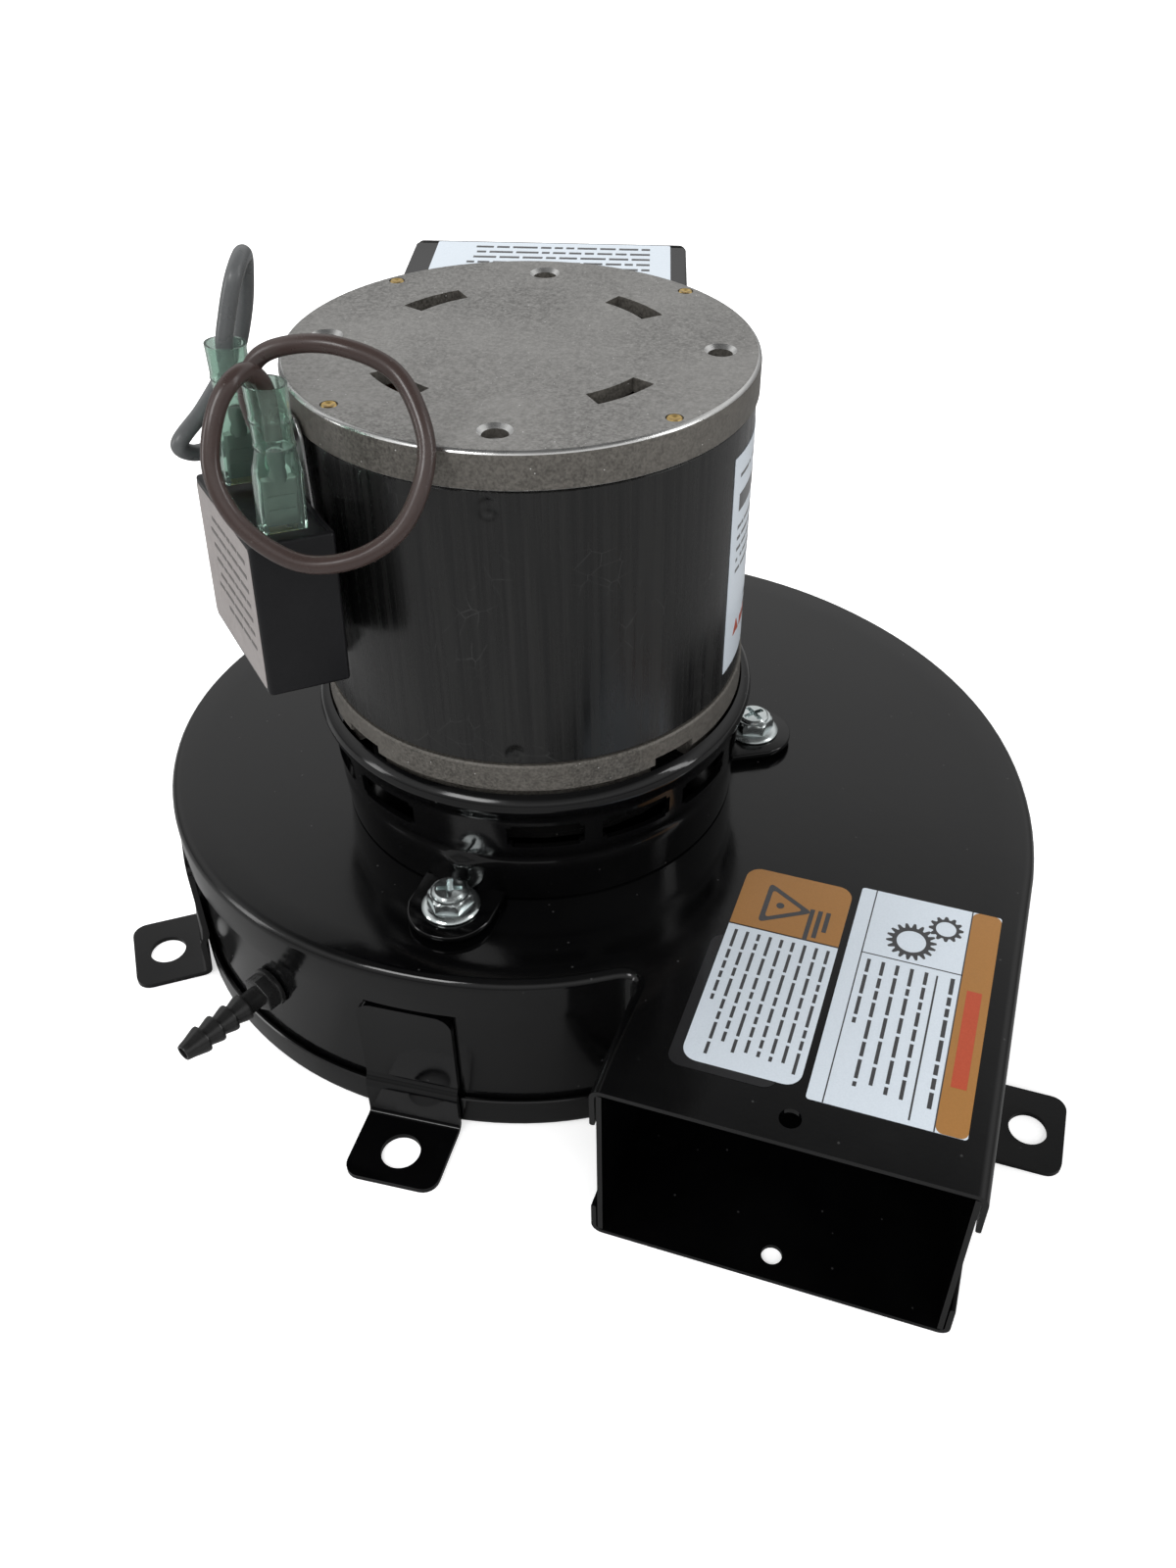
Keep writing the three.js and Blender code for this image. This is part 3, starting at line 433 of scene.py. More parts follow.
def skin_group():
    """Skin: a fine grain laid over a slow wave, as one height from 0 to 1."""
    numbers = {"Grain Scale": 2500.0, "Wave Scale": 200.0, "Grain Share": 0.5}
    tree, given, out = new_group("skin", numbers, ["Height", "Grain"])
    place = object_place(tree)
    grain = noise(tree, place, given.outputs["Grain Scale"], 2.0, 0.55)
    wave = noise(tree, place, given.outputs["Wave Scale"], 3.0)
    height = add(tree, "ShaderNodeMix", {"data_type": "FLOAT"}, {
        0: given.outputs["Grain Share"], 2: wave, 3: grain,
    }).outputs[0]
    tree.links.new(height, out.inputs["Height"])
    tree.links.new(grain, out.inputs["Grain"])
    return tree


def streak_group():
    """Streaks: noise drawn out along the height, so that it runs up and down a wall."""
    tree, given, out = new_group("streaks", {"Fineness": 500.0, "Length": 0.03}, ["Streak"])
    squeeze = add(tree, "ShaderNodeCombineXYZ", None, {"X": 1.0, "Y": 1.0, "Z": given.outputs["Length"]})
    axes = {0: object_place(tree), 1: squeeze.outputs[0]}
    drawn = add(tree, "ShaderNodeVectorMath", {"operation": "MULTIPLY"}, axes).outputs[0]
    tree.links.new(noise(tree, drawn, given.outputs["Fineness"], 4.0, 0.65), out.inputs["Streak"])
    return tree


HANDLING = handling_group()
SKIN = skin_group()
STREAKS = streak_group()


def use(tree, group, values=None):
    return add(tree, "ShaderNodeGroup", {"node_tree": group}, values).outputs


def new_material(name, settings=None):
    """A material with one Principled shader whose constant values are set on its own sockets."""
    material = bpy.data.materials.new(name)
    material.use_nodes = True
    tree = material.node_tree
    for title, value in (settings or {}).items():
        tree.nodes["Principled BSDF"].inputs[title].default_value = value
    return material, tree


def dress(material, colour, rough, height, strength):
    """Gives a material the colour, roughness and fine relief that vary over its surface."""
    tree = material.node_tree
    relief = add(tree, "ShaderNodeBump", None, {"Height": height, "Strength": strength, "Distance": 0.0001})
    shader = tree.nodes["Principled BSDF"]
    for title, source in (("Base Color", colour), ("Roughness", rough), ("Normal", relief.outputs[0])):
        tree.links.new(source, shader.inputs[title])
    return material


def flecked(tree, mask, strength, under, over):
    """One colour with another laid over it as strongly as a mask allows."""
    return blend_colours(tree, maths(tree, "MULTIPLY", mask, strength), under, over)


# ---- Materials ----------------------------------------------------------------------------------


def gloss_black_paint():
    """Stoved black enamel: nearly black, mirror-like, a faint orange peel, dust and dull smudges."""
    material, tree = new_material("gloss_black_paint", {"Specular IOR Level": 0.42})
    marks = use(tree, HANDLING, {"Smudge Scale": 24.0, "Speck Scale": 700.0})
    skin = use(tree, SKIN, {"Grain Scale": 1500.0, "Wave Scale": 260.0, "Grain Share": 0.35})
    dull = blend_colours(tree, marks["Smudge"], (0.0012, 0.0012, 0.0014), (0.0030, 0.0031, 0.0032))
    dusty = maths(tree, "MULTIPLY", marks["Speck"], 0.3)
    colour = blend_colours(tree, dusty, dull, (0.10, 0.10, 0.10))
    rough = maths(tree, "ADD", remap(tree, marks["Smudge"], 0, 1, 0.09, 0.2), dusty)
    return dress(material, colour, rough, skin["Height"], 0.12)


def shell_black_enamel():
    """Thin black enamel on the rolled shell: satin, with rolling streaks up the wall and scuffs."""
    material, tree = new_material("shell_black_enamel", {"Specular IOR Level": 0.5})
    marks = use(tree, HANDLING, {"Smudge Scale": 60.0, "Speck Scale": 500.0, "Scratch Scale": 220.0})
    streak = use(tree, STREAKS, {"Fineness": 700.0, "Length": 0.02})["Streak"]
    share = remap(tree, streak, 0.3, 0.7, 0, 1)
    base = blend_colours(tree, share, (0.0015, 0.0016, 0.0018), (0.011, 0.011, 0.0105))
    colour = flecked(tree, marks["Scratch"], 0.45, base, (0.06, 0.06, 0.06))
    worn = remap(tree, marks["Smudge"], 0, 1, 0, 0.08)
    rough = maths(tree, "ADD", remap(tree, streak, 0.3, 0.7, 0.17, 0.33), worn)
    return dress(material, colour, rough, streak, 0.12)


def cast_aluminium(name, pale, dark):
    """Bead-blasted casting: an even grey with a fine sandy grain, small glints painted into the colour as
    bright specks, and faint clouds.
    """
    material, tree = new_material(name, {"Metallic": 0.35, "Specular IOR Level": 0.4})
    skin = use(tree, SKIN, {"Grain Scale": 2000.0, "Wave Scale": 700.0, "Grain Share": 0.7})
    marks = use(tree, HANDLING, {"Smudge Scale": 55.0, "Speck Scale": 1700.0})
    mottled = blend_colours(tree, remap(tree, skin["Height"], 0.35, 0.65, 0, 1), dark, pale)
    cloud = remap(tree, object_noise(tree, 40.0, 4.0), 0.4, 0.65, 0.0, 0.4)
    clouded = blend_colours(tree, cloud, mottled, tuple(1.1 * value for value in pale))
    # Painted glints: the speck mask lays bright specks into the colour.
    colour = flecked(tree, marks["Speck"], 0.8, clouded, (0.8, 0.8, 0.79))
    return dress(material, colour, remap(tree, skin["Grain"], 0.3, 0.7, 0.36, 0.6), skin["Height"], 0.9)


def plated_steel(name, colour, rough_low, rough_high, tint):
    """Bright metal: cloudy plating with a slight colour drift and tiny scratches."""
    material, tree = new_material(name, {"Metallic": 1.0})
    marks = use(tree, HANDLING, {"Smudge Scale": 220.0, "Speck Scale": 2500.0, "Scratch Scale": 900.0})
    cloud = object_noise(tree, 420.0, 3.0)
    shade = flecked(tree, marks["Scratch"], 0.3, blend_colours(tree, cloud, colour, tint), (0.2, 0.2, 0.2))
    return dress(material, shade, remap(tree, marks["Smudge"], 0, 1, rough_low, rough_high), cloud, 0.08)


def winding_copper():
    """Enamelled magnet wire: turns laid side by side round the axis under varnish."""
    material, tree = new_material("winding_copper", {"Metallic": 0.75, "Coat Weight": 0.4})
    inputs = {"Vector": object_place(tree), "Location": tuple(-AXIS)}
    shifted = add(tree, "ShaderNodeMapping", None, inputs).outputs[0]
    wires = add(tree, "ShaderNodeTexWave", {"wave_type": "RINGS", "rings_direction": "Z"}, {
        "Vector": shifted, "Scale": 420.0, "Distortion": 1.6, "Detail": 1.0,
    }).outputs["Fac"]
    colour = blend_colours(tree, wires, (0.16, 0.05, 0.02), (0.5, 0.2, 0.08))
    return dress(material, colour, remap(tree, object_noise(tree, 300.0), 0.3, 0.7, 0.28, 0.45), wires, 0.6)


def lamination_steel():
    """Stacked core sheets: thin dark lines between blued steel edges."""
    material, tree = new_material("lamination_steel", {"Metallic": 0.8})
    sheets = add(tree, "ShaderNodeTexWave", {"bands_direction": "Z"}, {
        "Vector": object_place(tree), "Scale": 320.0, "Distortion": 0.4, "Detail": 1.0,
    }).outputs["Fac"]
    colour = blend_colours(tree, sheets, (0.05, 0.055, 0.06), (0.2, 0.21, 0.22))
    return dress(material, colour, remap(tree, object_noise(tree, 600.0), 0.3, 0.7, 0.4, 0.6), sheets, 0.4)


def moulded(name, dark, pale, rough_low, rough_high, grain=1800.0, strength=0.15, settings=None):
    """A moulded or extruded plastic or rubber: fine grain, slow shade drift and dulled patches."""
    material, tree = new_material(name, settings)
    skin = use(tree, SKIN, {"Grain Scale": grain, "Wave Scale": 240.0, "Grain Share": 0.6})
    marks = use(tree, HANDLING, {"Smudge Scale": 90.0, "Speck Scale": 1200.0})
    shade = blend_colours(tree, skin["Height"], dark, pale)
    colour = flecked(tree, marks["Speck"], 0.25, shade, (0.3, 0.3, 0.28))
    rough = remap(tree, marks["Smudge"], 0, 1, rough_low, rough_high)
    return dress(material, colour, rough, skin["Height"], strength)


def green_vinyl():
    """Clear soft vinyl tinted green: cloudy where it was bent, with faint draw lines."""
    material, tree = new_material("green_vinyl", {"Transmission Weight": 0.96, "IOR": 1.3})
    cloud = object_noise(tree, 260.0, 3.0)
    colour = blend_colours(tree, cloud, (0.62, 0.83, 0.73), (0.77, 0.92, 0.84))
    lines = object_noise(tree, 400.0, 1.0, (1, 1, 0.3))
    return dress(material, colour, remap(tree, cloud, 0.3, 0.7, 0.03, 0.12), lines, 0.06)


def label_stock(name, dark, pale):
    """Printed polyester film: a slight sheen with faint fibres and a few rubbed spots."""
    material, tree = new_material(name, {"Coat Weight": 0.25})
    marks = use(tree, HANDLING, {"Smudge Scale": 70.0, "Speck Scale": 1500.0, "Scratch Scale": 420.0})
    weave = object_noise(tree, 3000.0, 2.0)
    shade = blend_colours(tree, weave, dark, pale)
    colour = flecked(tree, marks["Scratch"], 0.12, shade, (0.12, 0.12, 0.12))
    return dress(material, colour, remap(tree, marks["Smudge"], 0, 1, 0.28, 0.42), weave, 0.05)


PAINT = gloss_black_paint()
ENAMEL = shell_black_enamel()
ALUMINIUM = cast_aluminium("cast_aluminium_top", (0.27, 0.265, 0.255), (0.095, 0.093, 0.088))
# A darker copy of the same cast aluminium: painted shade on the top shield's upright faces, and the bottom
# shield's colour.
ALUMINIUM_SHADED = cast_aluminium("cast_aluminium_shaded", (0.15, 0.14, 0.125), (0.055, 0.051, 0.045))
# Bright metal for the top shield's sloping faces: the machined mouths of the screw holes, and a painted
# highlight along the rim.
MACHINED_AND_HIGHLIGHT = plated_steel("machined_aluminium_highlight", (0.78, 0.78, 0.77), 0.24, 0.36, (0.66, 0.66, 0.65))
ZINC = plated_steel("zinc_plate", (0.72, 0.76, 0.78), 0.14, 0.3, (0.60, 0.66, 0.64))
BARE_STEEL = plated_steel("bare_steel", (0.48, 0.48, 0.47), 0.26, 0.42, (0.36, 0.36, 0.37))
TIN = plated_steel("dull_tin", (0.24, 0.24, 0.23), 0.36, 0.5, (0.15, 0.15, 0.145))
BRASS = plated_steel("brass", (0.72, 0.52, 0.20), 0.2, 0.4, (0.56, 0.38, 0.14))
COPPER = winding_copper()
LAMINATION = lamination_steel()
CASE_BLACK = moulded("capacitor_case_black", (0.004, 0.004, 0.005), (0.009, 0.009, 0.01), 0.34, 0.5,
                     settings={"Specular IOR Level": 0.3})
NYLON_BLACK = moulded("black_nylon", (0.006, 0.006, 0.006), (0.014, 0.014, 0.014), 0.18, 0.34)
RUBBER = moulded("black_rubber", (0.008, 0.008, 0.008), (0.018, 0.018, 0.017), 0.6, 0.8, 2600.0, 0.4)
FIBRE = moulded("seal_fibre", (0.32, 0.29, 0.23), (0.55, 0.51, 0.42), 0.8, 0.95, 3200.0, 0.9)
BROWN_PVC = moulded("brown_pvc", (0.034, 0.022, 0.020), (0.052, 0.035, 0.031), 0.24, 0.36, 2200.0, 0.12)
GREY_PVC = moulded("grey_pvc", (0.075, 0.078, 0.080), (0.115, 0.12, 0.122), 0.26, 0.4, 2200.0, 0.12)
VINYL = green_vinyl()
WHITE_FILM = label_stock("white_film", (0.56, 0.62, 0.68), (0.66, 0.72, 0.78))
ORANGE_FILM = label_stock("orange_film", (0.29, 0.135, 0.032), (0.36, 0.165, 0.042))
BLACK_INK = label_stock("black_ink", (0.03, 0.03, 0.032), (0.055, 0.055, 0.058))
RED_INK = label_stock("red_ink", (0.36, 0.052, 0.02), (0.46, 0.075, 0.03))
CLEAR_CARRIER = label_stock("dark_carrier", (0.008, 0.008, 0.009), (0.014, 0.014, 0.015))
PRINTED_FACE = moulded("printed_resin_face", (0.22, 0.20, 0.195), (0.34, 0.31, 0.30), 0.4, 0.6, 900.0, 0.3)
PRINT_GREY = moulded("printed_grey_ink", (0.07, 0.064, 0.06), (0.12, 0.11, 0.105), 0.4, 0.55)

SLOTS = {
    material.name: slot
    for slot, materials in {
        "black_paint": [PAINT, ENAMEL],
        "cast_aluminium": [ALUMINIUM, ALUMINIUM_SHADED],
        "steel": [BARE_STEEL],
        "zinc": [ZINC, TIN],
        "brass": [BRASS],
        "black_plastic": [CASE_BLACK, NYLON_BLACK],
        "black_rubber": [RUBBER],
        "boot_vinyl": [VINYL],
        "brown_pvc": [BROWN_PVC],
        "grey_pvc": [GREY_PVC],
    }.items()
    for material in materials
}

# ---- Housing ------------------------------------------------------------------------------------

SHEET = 1.0
GAP = 0.3
HOUSING_HEIGHT = 44
LID_SKIRT = 10
PAN_SKIRT = 8.5
EDGE_ROUNDING = 2.2
SPIRAL_STEP = 30
SPIRAL_RADII = [64.3, 66, 71.8, 79.2, 86.1, 89.8, 92.5, 95.4, 101.1, 106.3, 108.5]
OUTLET_LEFT = 39.4
OUTLET_RIGHT = SPIRAL_RADII[-1]
OUTLET_FRONT = -79.7
TONGUE_CORNER = 4.5
WALL_INSET = SHEET + GAP
OUTLET_HOLE = (74, -74.6, 2.0)
SHAFT_HOLE = 9
INLET_RADIUS = 38


def even_curve(values, per_span):
    """A uniform Catmull-Rom curve through the values, its ends repeated."""
    values = np.asarray(values, float)
    padded = np.concatenate([values[:1], values, values[-1:]])
    share = np.linspace(0, 1, per_span, endpoint=False)
    neighbours = zip(padded, padded[1:], padded[2:], padded[3:])
    spans = [cubic(b, c, (c - a) / 2, (d - b) / 2, share) for a, b, c, d in neighbours]
    return np.concatenate([*spans, values[-1:]])


def housing_edge():
    """Up the left side of the outlet, round the tongue, clockwise round the spiral, down the right."""
    angles = even_curve((np.arange(len(SPIRAL_RADII)) - 1) * SPIRAL_STEP, 12)
    spiral = polar(even_curve(SPIRAL_RADII, 12), -90 - angles, 0)[:, :2]
    back = spiral[0] - spiral[1]
    back /= np.linalg.norm(back)
    corner = spiral[0] + back * (OUTLET_LEFT - spiral[0, 0]) / back[0]
    share = np.linspace(0, 1, 10)[:, None]
    tongue = bend(corner - (0, TONGUE_CORNER), corner, corner - back * TONGUE_CORNER, share)
    return np.concatenate([[(OUTLET_LEFT, OUTLET_FRONT)], tongue, spiral, [(OUTLET_RIGHT, OUTLET_FRONT)]])


EDGE = housing_edge()
CORNER_STEPS = 6


def edge_at(azimuth):
    """The edge point at an azimuth and the azimuth square to the edge there."""
    bearing = np.degrees(np.arctan2(EDGE[:, 1], EDGE[:, 0]))
    apart = np.abs((bearing - azimuth + 180) % 360 - 180)
    nearest = int(np.argmin(np.where(np.hypot(*EDGE.T) > 60, apart, 999)))
    nearest = min(max(nearest, 1), len(EDGE) - 2)
    along = EDGE[nearest + 1] - EDGE[nearest - 1]
    outward = np.array([-along[1], along[0]]) / np.linalg.norm(along)
    ray = np.array([math.cos(math.radians(azimuth)), math.sin(math.radians(azimuth))])
    reach = (EDGE[nearest] @ outward) / (ray @ outward)
    return ray * reach, outward


def beside_wall(part, azimuth, height=0.0):
    """A part made along +X, set against the scroll wall at an azimuth and pointing square out of it."""
    point, outward = edge_at(azimuth)
    base = point - outward * WALL_INSET
    facing = math.degrees(math.atan2(outward[1], outward[0]))
    return moved(turned_about_axis(part, facing), base[0], base[1], height)


def pressed_pan(closed, open_end):
    """The skirt, the rounded edge and the start of the flat carried along the housing edge, outside and
    in, and the flat itself filled across."""
    up = math.copysign(1, closed - open_end)
    turn = np.linspace(0, np.pi / 2, CORNER_STEPS + 1)
    lip = 0.25
    flat_reach = 8
    inner = EDGE_ROUNDING - SHEET
    under = closed - up * SHEET
    far, near = 1 - np.cos(turn), 1 - np.sin(turn)
    outer_bend = np.column_stack([EDGE_ROUNDING * far, closed - up * EDGE_ROUNDING * near])
    inner_bend = np.column_stack([SHEET + inner * near, under - up * inner * far])
    outside = [(lip, open_end), (0, open_end + up * lip), *outer_bend, (flat_reach, closed)]
    inside = [(flat_reach, under), *inner_bend, (SHEET, open_end + up * lip), (SHEET - lip, open_end)]
    profile = outside + inside
    rows = [upright(inset(EDGE, -distance, closed=False), height) for distance, height in profile]
    points, faces = grid(np.stack(rows, 1), wrap_columns=True)
    count = len(profile)
    top = len(outside) - 1
    under_row = len(outside)
    last = (len(EDGE) - 1) * count
    # The ring closes itself between the two flat rows, and that strip gives way to the two flats.
    faces = [face for face in faces if not {corner % count for corner in face} <= {top, under_row}]
    faces.append([i * count + top for i in range(len(EDGE))])
    faces.append([i * count + under_row for i in range(len(EDGE))][::-1])
    faces.append(list(range(count))[: top + 1] + list(range(under_row, count)))
    faces.append([last + k for k in range(count)][::-1])
    faces.append([top, last + top, last + under_row, under_row])
    return points, faces


def upright_hole(x, y, radius, low, high, sides=32):
    return slab(circle(radius, sides, x, y), low, high)


def hole_round_axis(reach, azimuth, radius, low, high, sides=32):
    x, y, _ = polar(reach, azimuth, 0)
    return upright_hole(x, y, radius, low, high, sides)


SCREW_CIRCLE = 48.7
SCREW_HOLE = 2.6
SCREW_AZIMUTHS = {"front": -90, "right": 30, "left": 150}
DRILLED = (40, 50)


def screw_holes():
    """The three holes through the lid and the adapter's tabs."""
    return [hole_round_axis(SCREW_CIRCLE, turn, SCREW_HOLE, *DRILLED) for turn in SCREW_AZIMUTHS.values()]


def build_housing():
    lid_cuts = [upright_hole(*OUTLET_HOLE, *DRILLED), upright_hole(0, 0, SHAFT_HOLE, *DRILLED, 64)]
    lid_cuts += screw_holes()
    lid = pressed_pan(HOUSING_HEIGHT, HOUSING_HEIGHT - LID_SKIRT)
    piece("lid", lid, PAINT, "housing_lid", cuts=lid_cuts)

    bottom = pressed_pan(0, PAN_SKIRT)
    lip = lathe(rounded([
        (INLET_RADIUS, 0.4), (INLET_RADIUS + 3, 0.2), (INLET_RADIUS + 3, SHEET), (INLET_RADIUS + 1.4, 1.8),
        (INLET_RADIUS, 4), (INLET_RADIUS - 0.4, 8), (INLET_RADIUS - 1.3, 8), (INLET_RADIUS - 1.1, 4),
    ], 0.5), 96)
    bottom_cuts = [upright_hole(*OUTLET_HOLE, -5, 5), upright_hole(0, 0, INLET_RADIUS + 1.5, -5, 5, 96)]
    pan = make_object("pan", bottom)
    boolean(pan, joined(*bottom_cuts), "DIFFERENCE")
    boolean(pan, lip, "UNION")
    finish(pan, "bottom_pan", PAINT, "housing_bottom")

    outer = inset(EDGE, -WALL_INSET, closed=False)
    inner = inset(EDGE, -WALL_INSET - SHEET, closed=False)
    low, high = WALL_INSET, HOUSING_HEIGHT - WALL_INSET
    rows = [upright(outer, low), upright(outer, high), upright(inner, high), upright(inner, low)]
    wall, faces = grid(np.stack(rows, 1), wrap_columns=True)
    last = len(wall) - 4
    faces += [[0, 1, 2, 3], [last + 3, last + 2, last + 1, last]]
    drill = out_of_wall(slab(circle(2.6), -10, 10))
    piece("scroll_wall_strip", (wall, faces), PAINT, "scroll_wall", cuts=[drill])


TAP_AZIMUTH = -121
TAP_HEIGHT = 23
TAP_LENGTH = 22.5
TAP_BORE = 1.2
BARB_PITCH = 3.4


def out_of_wall(part):
    """A part made along +Z, laid down to point out of the wall at the hose barb."""
    return beside_wall(laid_outward(part), TAP_AZIMUTH, TAP_HEIGHT)


def build_pressure_tap():
    """A hexagon root, a neck and four barbs, each a short cone with a rounded shoulder."""
    profile = [(TAP_BORE, -3.5), (2.4, -3.5), (2.4, GAP), (4.4, GAP), (4.4, 1.3), (2.3, 1.5), (2.3, 7.3)]
    for i in range(4):
        start = 7.5 + i * BARB_PITCH
        profile += [(2.95, start), (2.9, start + 0.6), (2.1, start + BARB_PITCH - 0.25)]
    profile += [(1.7, TAP_LENGTH), (TAP_BORE, TAP_LENGTH)]
    tap = out_of_wall(lathe(rounded(profile, 0.18, 2), 48))
    hexagon = out_of_wall(slab(circle(4.1, 6), 1, 4, 0.25))
    bore = out_of_wall(slab(circle(TAP_BORE), -6, TAP_LENGTH + 1))
    piece("pressure_hose_barb", tap, NYLON_BLACK, "pressure_tap", adds=[hexagon], cuts=[bore])


FOOT_AZIMUTHS = {"left": -152.2, "front": -93.1, "right": -15.6, "back": 100}
FOOT_WIDTH = 19.5
FOOT_REACH = 18.2
FOOT_HOLE_REACH = 10.8
FOOT_SHEET = 1.2
FOOT_BEND = 1.5
FOOT_CORNER = 3.2


def strip_path():
    """The side view of a foot: down the wall, out over the skirt, down it and out along the floor."""
    wall_face = GAP + FOOT_SHEET / 2
    skirt_face = WALL_INSET + GAP + FOOT_SHEET / 2
    top = HOUSING_HEIGHT - LID_SKIRT - 0.6
    return np.array([
        (wall_face, top), (wall_face, PAN_SKIRT + 3.4), (skirt_face, PAN_SKIRT + 1.6),
        (skirt_face, FOOT_SHEET / 2), (FOOT_REACH, FOOT_SHEET / 2),
    ])


def foot():
    """The strip's side view, with rounded bends, carried across its width; the width narrows at both
    ends as a quarter circle, and the two faces lie half the sheet to each side."""
    corners = strip_path()
    steps = 4
    bends = [rounded(near, FOOT_BEND, steps)[steps + 1:2 * steps + 2]
             for near in zip(corners, corners[1:], corners[2:])]
    line = np.concatenate([corners[:1], *bends, corners[-1:]])
    length = np.concatenate([[0], np.cumsum(np.linalg.norm(np.diff(line, axis=0), axis=1))])
    close = FOOT_CORNER * (1 - np.cos(np.linspace(0, np.pi / 2, 7)))
    stations = np.unique(np.concatenate([close, length[1:-1], length[-1] - close]))
    stations = stations[np.insert(np.diff(stations) > 0.02, 0, True)]
    centre = np.column_stack([np.interp(stations, length, line[:, k]) for k in (0, 1)])
    along = np.gradient(centre, axis=0)
    along /= np.linalg.norm(along, axis=1)[:, None]
    normal = np.column_stack([-along[:, 1], along[:, 0]]) * FOOT_SHEET / 2
    near_end = np.minimum(stations, length[-1] - stations)
    short = np.maximum(FOOT_CORNER - near_end, 0)
    drop = FOOT_CORNER - np.sqrt(np.maximum(FOOT_CORNER**2 - short**2, 0))
    half = FOOT_WIDTH / 2 - drop
    across = np.linspace(-1, 1, 9)
    faces = []
    for side in (1, -1):
        face = centre + side * normal
        y = half[:, None] * across
        faces.append(np.stack(np.broadcast_arrays(face[:, :1], y, face[:, 1:]), -1))
    # Round trip across the upper face and back across the lower one closes the section.
    section = np.concatenate([faces[0], faces[1][:, ::-1]], 1)
    body, quads = grid(section, wrap_columns=True)
    width = section.shape[1]
    quads += [list(range(width)), [len(body) - 1 - k for k in range(width)]]
    return body, quads


def build_feet():
    for side, azimuth in FOOT_AZIMUTHS.items():
        placed = beside_wall(foot(), azimuth)
        hole = beside_wall(upright_hole(FOOT_HOLE_REACH, 0, 4, -3, 4, 48), azimuth)
        piece("foot_bracket_" + side, placed, PAINT, "foot_" + side, cuts=[hole], smooth=50)


# ---- Adapter ------------------------------------------------------------------------------------

SLOT_OFFSETS = (23, 47.7, 72.3, 97)
SLOT_HALF = 10
SLOT_STRAIGHT = 0.88
SLOT_MIDDLE = 61.75
TAB_BOTTOM = 45.1
TAB_THICKNESS = 1.4
TAB_HALF = 8.6
BELL_WALL = 1.1


def bell_radius(azimuth, height):
    """The bell's wall: a slow taper, a rolled bead at the top, a crease below the slots and a formed
    gusset swelling out above each tab."""
    wall = np.interp(height, [44.3, 58, 66.2, 67.2, 68.3, 69.6, 71.0, 71.9, 72.3],
                     [42.0, 42.9, 43.2, 43.8, 44.7, 45.0, 44.6, 43.7, 42.9])
    crease = -0.5 * np.exp(-(((height - 55.5) / 0.9) ** 2))
    swell = 0.0
    for tab in SCREW_AZIMUTHS.values():
        apart = (azimuth - tab + 180) % 360 - 180
        rise = np.clip((58.5 - height) / 12, 0, 1) ** 1.5
        shoulder = np.exp(-(((height - 53.5) / 2.6) ** 2))
        swell = swell + 1.6 * np.exp(-((apart / 6.5) ** 2)) * rise
        swell = swell + 1.5 * np.exp(-((apart / 4.5) ** 2)) * shoulder
    return wall + crease + swell


def in_slot(centres):
    """Which cells of the bell lie in a slot, apart from the ones that blunt its four corners."""
    bearing = np.degrees(np.arctan2(centres[:, 1], centres[:, 0]))
    level = np.abs(centres[:, 2] - SLOT_MIDDLE)
    inside = np.zeros(len(centres), bool)
    for tab in SCREW_AZIMUTHS.values():
        for offset in SLOT_OFFSETS:
            apart = np.abs((bearing - tab - offset + 180) % 360 - 180)
            corner = (apart > SLOT_HALF * SLOT_STRAIGHT) & (level > 2.0)
            inside |= (apart < SLOT_HALF) & (level < 2.75) & ~corner
    return inside


def build_adapter():
    """The bell as radius against azimuth and height, with the slots' cells left out and a wall given
    to what is left, and three flat tabs bent out at the foot."""
    fine = np.arange(0, 360, 2.0)
    slot_edges = [tab + offset + side * SLOT_HALF for tab in SCREW_AZIMUTHS.values()
                  for offset in SLOT_OFFSETS for side in (-1, -SLOT_STRAIGHT, SLOT_STRAIGHT, 1)]
    azimuths = np.unique(np.round(np.concatenate([fine, np.mod(slot_edges, 360)]), 2))
    heights = np.unique(np.concatenate([
        np.linspace(44.4, 58.6, 15), [59, 59.7, 61.7, 63.8, 64.5], np.linspace(65.2, 67.2, 4),
        np.linspace(67.2, 72.3, 16),
    ]))
    radius = bell_radius(azimuths[:, None], heights[None, :]) - 0.02
    points, quads = grid(polar(radius, azimuths[:, None], heights[None, :]), wrap_rows=True)
    gone = in_slot(np.array([points[face].mean(0) for face in quads]))
    bell = make_object("bell", (points, [face for face, out in zip(quads, gone) if not out]))
    wall = bell.modifiers.new("wall", "SOLIDIFY")
    wall.thickness = BELL_WALL * MM
    wall.offset = -1
    wall.use_even_offset = True
    evaluated(bell)
    for azimuth in SCREW_AZIMUTHS.values():
        boolean(bell, turned_about_axis(adapter_tab(), azimuth), "UNION")
    for hole in screw_holes():
        boolean(bell, hole, "DIFFERENCE")
    finish(bell, "adapter_bell", PAINT, "motor_adapter", smooth=40)


def adapter_tab():
    """A flat tab with a rounded end, its top edge softened."""
    turn = np.radians(np.linspace(-75, 75, 21))
    end = np.column_stack([SCREW_CIRCLE + TAB_HALF * np.cos(turn), TAB_HALF * np.sin(turn)])
    root = 41.6
    shoulder = SCREW_CIRCLE + 1.5
    before = [(root, -TAB_HALF), (shoulder, -TAB_HALF)]
    after = [(shoulder, TAB_HALF), (root, TAB_HALF)]
    return slab(np.concatenate([before, end, after]), TAB_BOTTOM, TAB_BOTTOM + TAB_THICKNESS, 0.35)


HEX_ACROSS = 7.9


def hexagon_radius(angle):
    """Distance from the centre to the side of a hexagon, in the direction of the angle in degrees."""
    return HEX_ACROSS / 2 / np.cos(np.radians((angle + 30) % 60 - 30))


